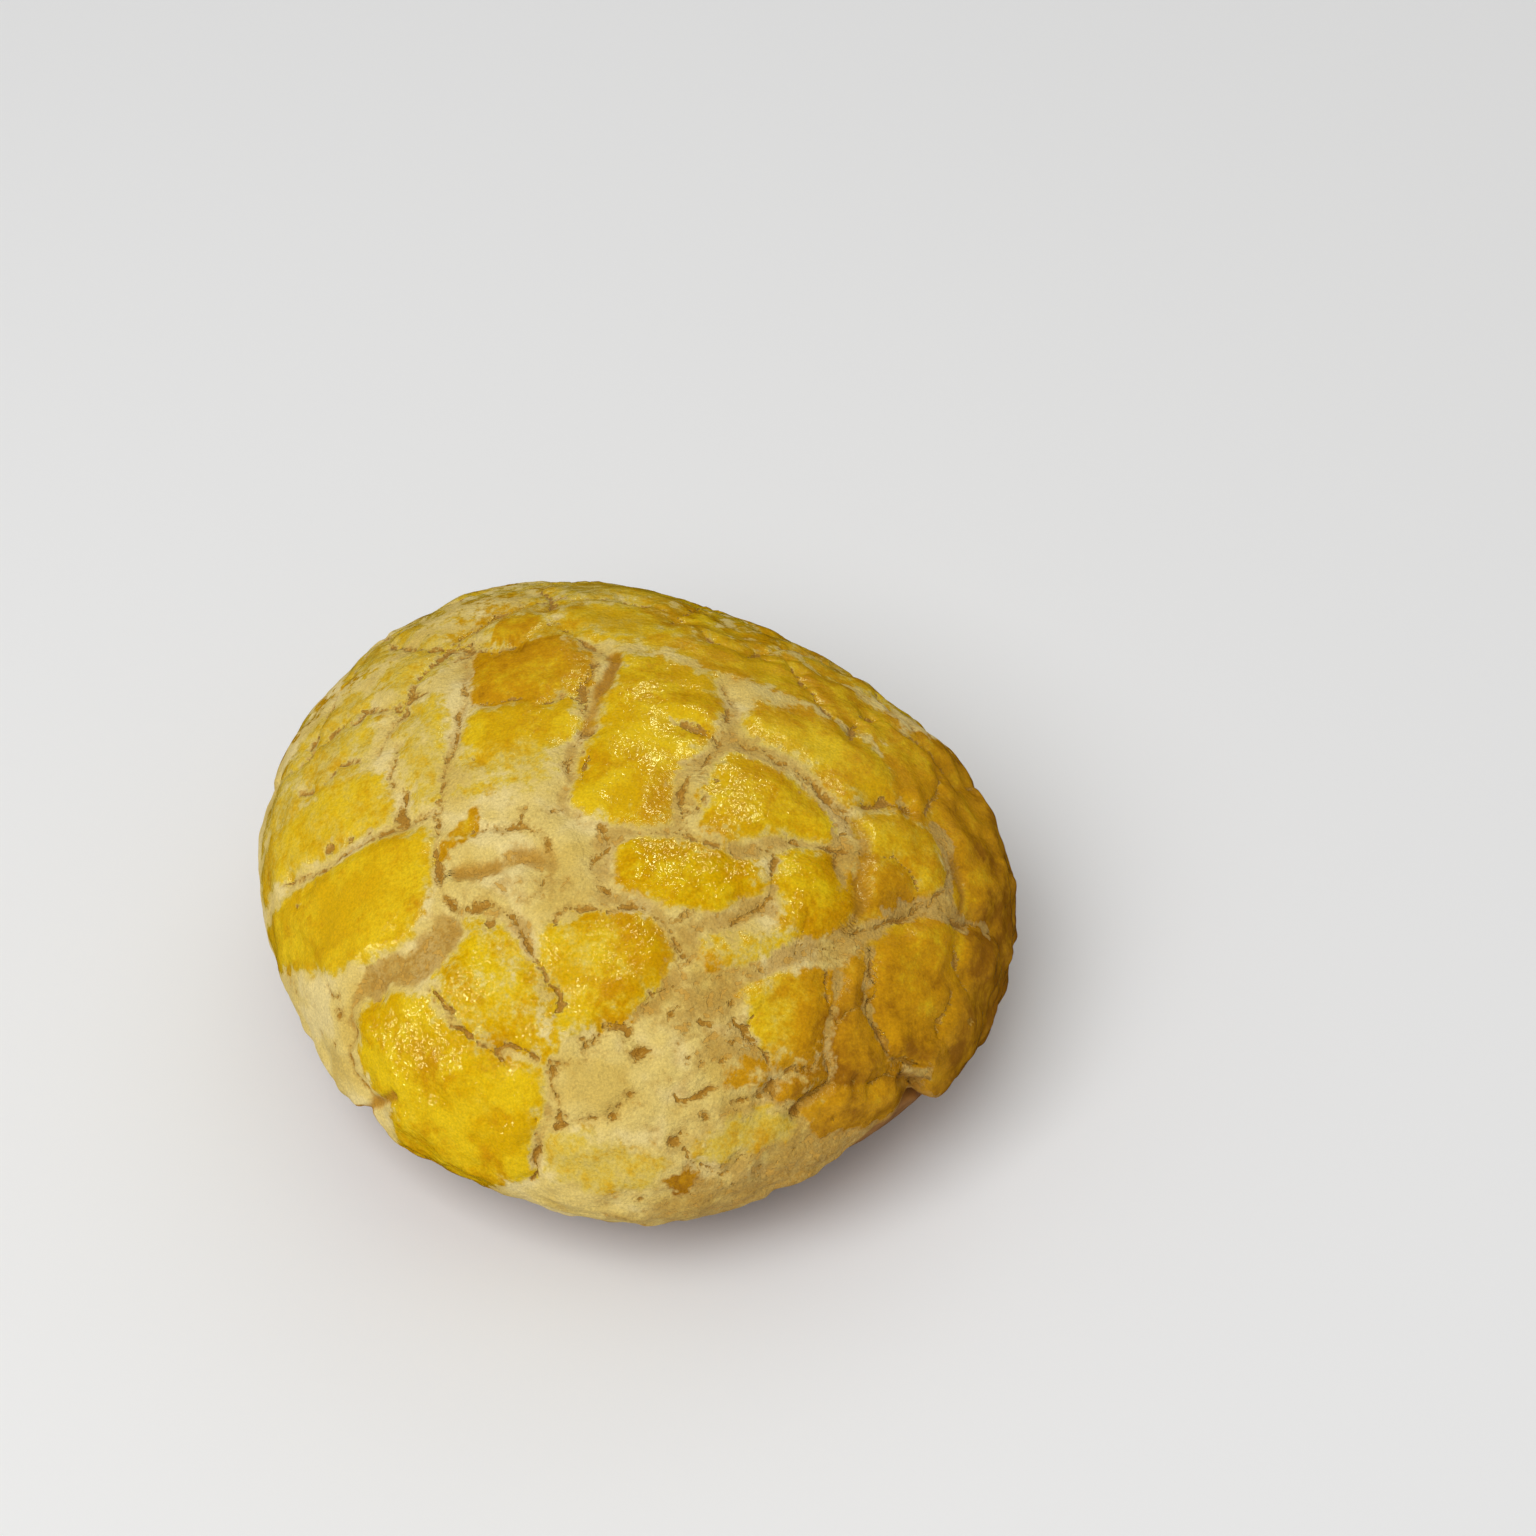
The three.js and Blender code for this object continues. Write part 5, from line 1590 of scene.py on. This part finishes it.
def crust_color(tree, shared, wash):
    """The base colour, and the torn share, which the height needs too."""
    dough, tan = dough_color(tree, shared)
    yolk = wash_color(tree, shared, wash)
    color = blend(tree, between(tree, wash, *YOLK_SHOWS), dough, yolk)
    # browned is the edge's real browning, and in the folds browning with the painted shade of the valley
    inputs = dict(color=color, tan=TOASTED, brown=BROWNED_AND_FOLD_SHADE, amount=field(tree, "browned"), patch_size=1.6)
    color = use(tree, OVEN, **inputs)["Color"]
    torn = torn_share(tree, shared, tan, wash)
    deep = blend(tree, between(tree, shared["frayed"], *DEEP_SHOWS), CRACK_INSIDE, CRACK_DEEP)
    crack = between(tree, shared["frayed"], *CRACK_SHOWS)
    open_share = maths(tree, "MAXIMUM", crack, maths(tree, "MULTIPLY", torn, TEARS_SHOW))
    color = blend(tree, open_share, color, deep)
    shade = maths(tree, "MULTIPLY_ADD", shared["grain"], GRAIN_LIGHTER, DARKEST)
    inputs = {0: color, "Scale": shade}
    return add(tree, "ShaderNodeVectorMath", inputs, operation="SCALE").outputs[0], torn


print("grain multiplies the colour by", DARKEST, "to", round(DARKEST + GRAIN_LIGHTER, 2))

# %% [markdown]
# Where the wash lies thick it is smooth, and tiny ripples in it break one lamp's glint into many. The crumb
# of the dough is rough. Heights are in millimetres.

# %% Small relief of the crust
# heights in millimetres: the crumb, what the wash takes off it, the ripples, what gloss adds to them, and how
# deep the frayed edge of a crack and the short tears are
CRUMB_BUMP, WASH_FLATTENS, RIPPLES, GLOSS_RIPPLES, CRACK_BUMP, TEAR_BUMP = 0.32, 0.24, 0.03, 0.17, 0.16, 0.08
# the size of a ripple, and over which distance the frayed edge of a crack goes down
RIPPLE_SIZE, CRACK_SIDE = 0.8, (-0.15, 0.12)


def crust_height(tree, shared, wash, gloss, torn):
    """Crumb, flatter under the wash, plus ripples, deeper where it is glossy, less what is cut by the frayed
    edge of a crack and by the short tears."""
    flatter = maths(tree, "MULTIPLY_ADD", wash, -WASH_FLATTENS, CRUMB_BUMP)
    crumb = maths(tree, "MULTIPLY", shared["crumb"]["Height"], flatter)
    ripples = maths(tree, "SUBTRACT", noise(tree, shared["where"], RIPPLE_SIZE, 1, 0.5), 0.5)
    sheen = maths(tree, "MULTIPLY_ADD", field(tree, "wash_gloss"), GLOSS_RIPPLES, RIPPLES)
    ripples = maths(tree, "MULTIPLY", ripples, maths(tree, "MULTIPLY", gloss, sheen))
    side = between(tree, shared["frayed"], *CRACK_SIDE, -CRACK_BUMP, 0.0)
    side = maths(tree, "MULTIPLY_ADD", torn, -TEAR_BUMP, side)
    return maths(tree, "ADD", maths(tree, "ADD", crumb, ripples), side)


print("bumps in mm: crumb", CRUMB_BUMP, "cracks", CRACK_BUMP, "tears", TEAR_BUMP)

# %% The crust's whole finish
# roughness of bare dough, what full gloss takes off it, and the share of gloss that any wash has
MATT, GLOSS_TAKES, SPECULAR = 0.78, 0.68, 0.5
ANY_WASH, GLOSSY_WASH, GLOSS_FROM = 0.75, 0.25, (0.05, 0.6)


def crust_finish():
    """The whole finish: colour, roughness and bump from the layers above."""
    finish, tree, surface = new_finish("baked cookie crust")
    shared = crust_noises(tree)
    wash = wash_share(tree, shared)
    color, torn = crust_color(tree, shared, wash)
    gloss = maths(tree, "MULTIPLY_ADD", field(tree, "wash_gloss"), GLOSSY_WASH, ANY_WASH)
    gloss = maths(tree, "MULTIPLY", gloss, between(tree, wash, *GLOSS_FROM))
    height = crust_height(tree, shared, wash, gloss, torn)
    bump = add(tree, "ShaderNodeBump", {"Height": height, "Strength": 1.0, "Distance": MM})
    tree.links.new(color, surface.inputs["Base Color"])
    tree.links.new(maths(tree, "MULTIPLY_ADD", gloss, -GLOSS_TAKES, MATT), surface.inputs["Roughness"])
    surface.inputs["Specular IOR Level"].default_value = SPECULAR
    tree.links.new(bump.outputs[0], surface.inputs["Normal"])
    return finish


crust.data.materials.append(crust_finish())
print("crust finish:", len(crust.data.materials[0].node_tree.nodes), "nodes")

# %% [markdown]
# ## The bread's finish
# Bread skin is smooth and a little satin. Just under the crust it stayed paler; lower down the oven browned
# it, and the base, which lay on the tray, is brownest.

# %% The bread's finish
BREAD_PALE, BREAD_TAN, BREAD_BROWN = shown(206, 162, 96), shown(178, 124, 58), shown(126, 76, 30)
# how browned the skin is: just under the crust, farther down, and how much more at the floor
UNDER_CRUST, FARTHER_DOWN, MORE_AT_FLOOR = 0.35, 0.72, 0.45
# heights in millimetres
SKIN_WRINKLES, SKIN_CRUMB = 0.22, 0.10
# in millimetres: over which heights it browns at the floor, and over which distances past the crust
FLOOR_BROWNS, PAST_BROWNS = (5.0, 0.3), (1.5, 7.0)


def bread_finish():
    """Browner near the floor and away from the crust, with satin crumb and wrinkles of 2 mm on it."""
    finish, tree, surface = new_finish("browned bread skin")
    where = millimetres(tree)
    height = add(tree, "ShaderNodeSeparateXYZ", {0: where}).outputs["Z"]
    low = between(tree, height, *FLOOR_BROWNS, 0.0, MORE_AT_FLOOR)
    past = between(tree, field(tree, "past_crust"), *PAST_BROWNS, UNDER_CRUST, FARTHER_DOWN)
    slow = maths(tree, "MULTIPLY_ADD", noise(tree, where, 8, 3), 0.5, -0.25)
    amount = maths(tree, "ADD", maths(tree, "ADD", low, past), slow)
    color = use(tree, OVEN, color=BREAD_PALE, tan=BREAD_TAN, brown=BREAD_BROWN, amount=amount, patch_size=2.2)
    tree.links.new(color["Color"], surface.inputs["Base Color"])
    crumb = use(tree, CRUMB, size=0.9)
    tree.links.new(maths(tree, "MULTIPLY_ADD", crumb["Height"], 0.25, 0.5), surface.inputs["Roughness"])
    wrinkles = maths(tree, "MULTIPLY", noise(tree, where, 2.0, 3, 0.6), SKIN_WRINKLES)
    skin = maths(tree, "MULTIPLY_ADD", crumb["Height"], SKIN_CRUMB, wrinkles)
    bump = add(tree, "ShaderNodeBump", {"Height": skin, "Strength": 1.0, "Distance": MM})
    tree.links.new(bump.outputs[0], surface.inputs["Normal"])
    return finish


bread.data.materials.append(bread_finish())
print("bread finish:", len(bread.data.materials[0].node_tree.nodes), "nodes")

# %% [markdown]
# ## Into the frame
# Both pieces ride the root, because a bun has no joint, and each stands in for its solid.

# %% Put the pieces on the frame
for piece, node in ((crust, "crust"), (bread, "bread")):
    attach(piece, "root")
    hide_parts(node)

# %% [markdown]
# ## Floor, light and camera
# A plain pale floor, and light from the front left. Two soft boxes only shade, which keeps the matt dough
# soft. Six small yellowish lamps only glint, each placed so that its reflection falls where the wash shone.
# The camera looks down on the bun from 44 degrees.

# %% The floor
FLOOR_SIZE, FLOOR_GREY = 6.0, 0.86


def floor_piece():
    """A square sheet that takes the shadow and doesn't show in the wash's glints."""
    half = FLOOR_SIZE / 2
    mesh = bpy.data.meshes.new("floor")
    corners = [(-half, -half, 0), (half, -half, 0), (half, half, 0), (-half, half, 0)]
    mesh.from_pydata(corners, [], [(0, 1, 2, 3)])
    floor = bpy.data.objects.new("floor", mesh)
    bpy.context.scene.collection.objects.link(floor)
    floor.visible_glossy = False
    finish, _, surface = new_finish("pale floor")
    surface.inputs["Base Color"].default_value = (FLOOR_GREY, FLOOR_GREY, FLOOR_GREY, 1)
    surface.inputs["Roughness"].default_value = 0.9
    mesh.materials.append(finish)
    return floor


floor_piece()
print("floor:", FLOOR_SIZE, "m on a side")

# %% The lights
# (name, power in watts, side in metres, azimuth and elevation it comes from in degrees, distance in metres,
# and whether it shades the surface or only glints on it)
LIGHTS = [
    ("soft box front left", 9.9, 0.9, 236, 54, 1.2, "shade"),
    ("soft box behind", 1.3, 0.9, 65, 30, 1.2, "shade"),
    ("lamp left lowest", 0.3, 0.06, 206, 6, 0.6, "glint"),
    ("lamp left low", 0.38, 0.06, 200, 24, 0.6, "glint"),
    ("lamp left high", 0.36, 0.06, 200, 50, 0.6, "glint"),
    ("lamp overhead", 0.24, 0.06, 290, 82, 0.6, "glint"),
    ("lamp behind", 0.36, 0.06, 80, 46, 0.6, "glint"),
    ("lamp behind right", 0.36, 0.06, 45, 66, 0.6, "glint"),
]
GLINT_TINT, AIM_HEIGHT = (0.96, 1.0, 0.52), 0.02
SKY_STRENGTH = 0.42


def light_from(name, power, side, azimuth, elevation, distance, task):
    """A square lamp that looks at the bun from that direction and only shades or only glints."""
    data = bpy.data.lights.new(name, "AREA")
    data.energy, data.size = power, side
    if task == "glint":
        data.color = GLINT_TINT
    lamp = bpy.data.objects.new(name, data)
    a, e = np.radians(azimuth), np.radians(elevation)
    away = np.array([np.cos(a) * np.cos(e), np.sin(a) * np.cos(e), np.sin(e)])
    lamp.location = away * distance + (0, 0, AIM_HEIGHT)
    lamp.rotation_euler = (np.pi / 2 - e, 0, a + np.pi / 2)
    lamp.visible_glossy = task == "glint"
    lamp.visible_diffuse = task == "shade"
    bpy.context.scene.collection.objects.link(lamp)


for row in LIGHTS:
    light_from(*row)
world = bpy.data.worlds.new("soft grey room")
world.use_nodes = True
world.node_tree.nodes["Background"].inputs[0].default_value = (1, 1, 1, 1)
world.node_tree.nodes["Background"].inputs[1].default_value = SKY_STRENGTH
bpy.context.scene.world = world
world.cycles_visibility.glossy = False
bpy.context.scene.view_settings.view_transform = "Standard"
print(len(LIGHTS), "lamps, sky", SKY_STRENGTH)

# %% [markdown]
# The picture is square, and the lens is long, so the bun looks as it does from across a table.

# %% The camera
# the picture's side in pixels, the lens and the sensor in millimetres
PICTURE, LENS, SENSOR = 1536, 80.0, 36.0
ELEVATION = 44.0
PIXELS_PER_MM = 7.53
# a point in the bun, in millimetres, and the pixel where it shows, counted from the top left
AIM = np.array([1.9, 0, 16.0])
AIM_PIXEL = (641.0, 903.5)


def camera_place():
    """Where the camera stands, in millimetres: back from the aim by the focal length in pixels over the
    pixels per millimetre, and aside so that the aim lands on its pixel."""
    e = np.radians(ELEVATION)
    focal = LENS / SENSOR * PICTURE
    distance = focal / PIXELS_PER_MM
    back, up = np.array([0, -np.cos(e), np.sin(e)]), np.array([0, np.sin(e), np.cos(e)])
    aside = (AIM_PIXEL[0] - PICTURE / 2) / PIXELS_PER_MM
    above = (PICTURE / 2 - AIM_PIXEL[1]) / PIXELS_PER_MM
    return AIM + back * distance - np.array([aside, 0, 0]) - up * above


camera_data = bpy.data.cameras.new("camera")
camera_data.lens, camera_data.sensor_width = LENS, SENSOR
camera_data.clip_start, camera_data.clip_end = 0.01, 20
camera = bpy.data.objects.new("camera", camera_data)
camera.location = camera_place() * MM
camera.rotation_euler = (np.radians(90 - ELEVATION), 0, 0)
bpy.context.scene.collection.objects.link(camera)
bpy.context.scene.camera = camera
print("camera in mm:", camera_place().round(1))
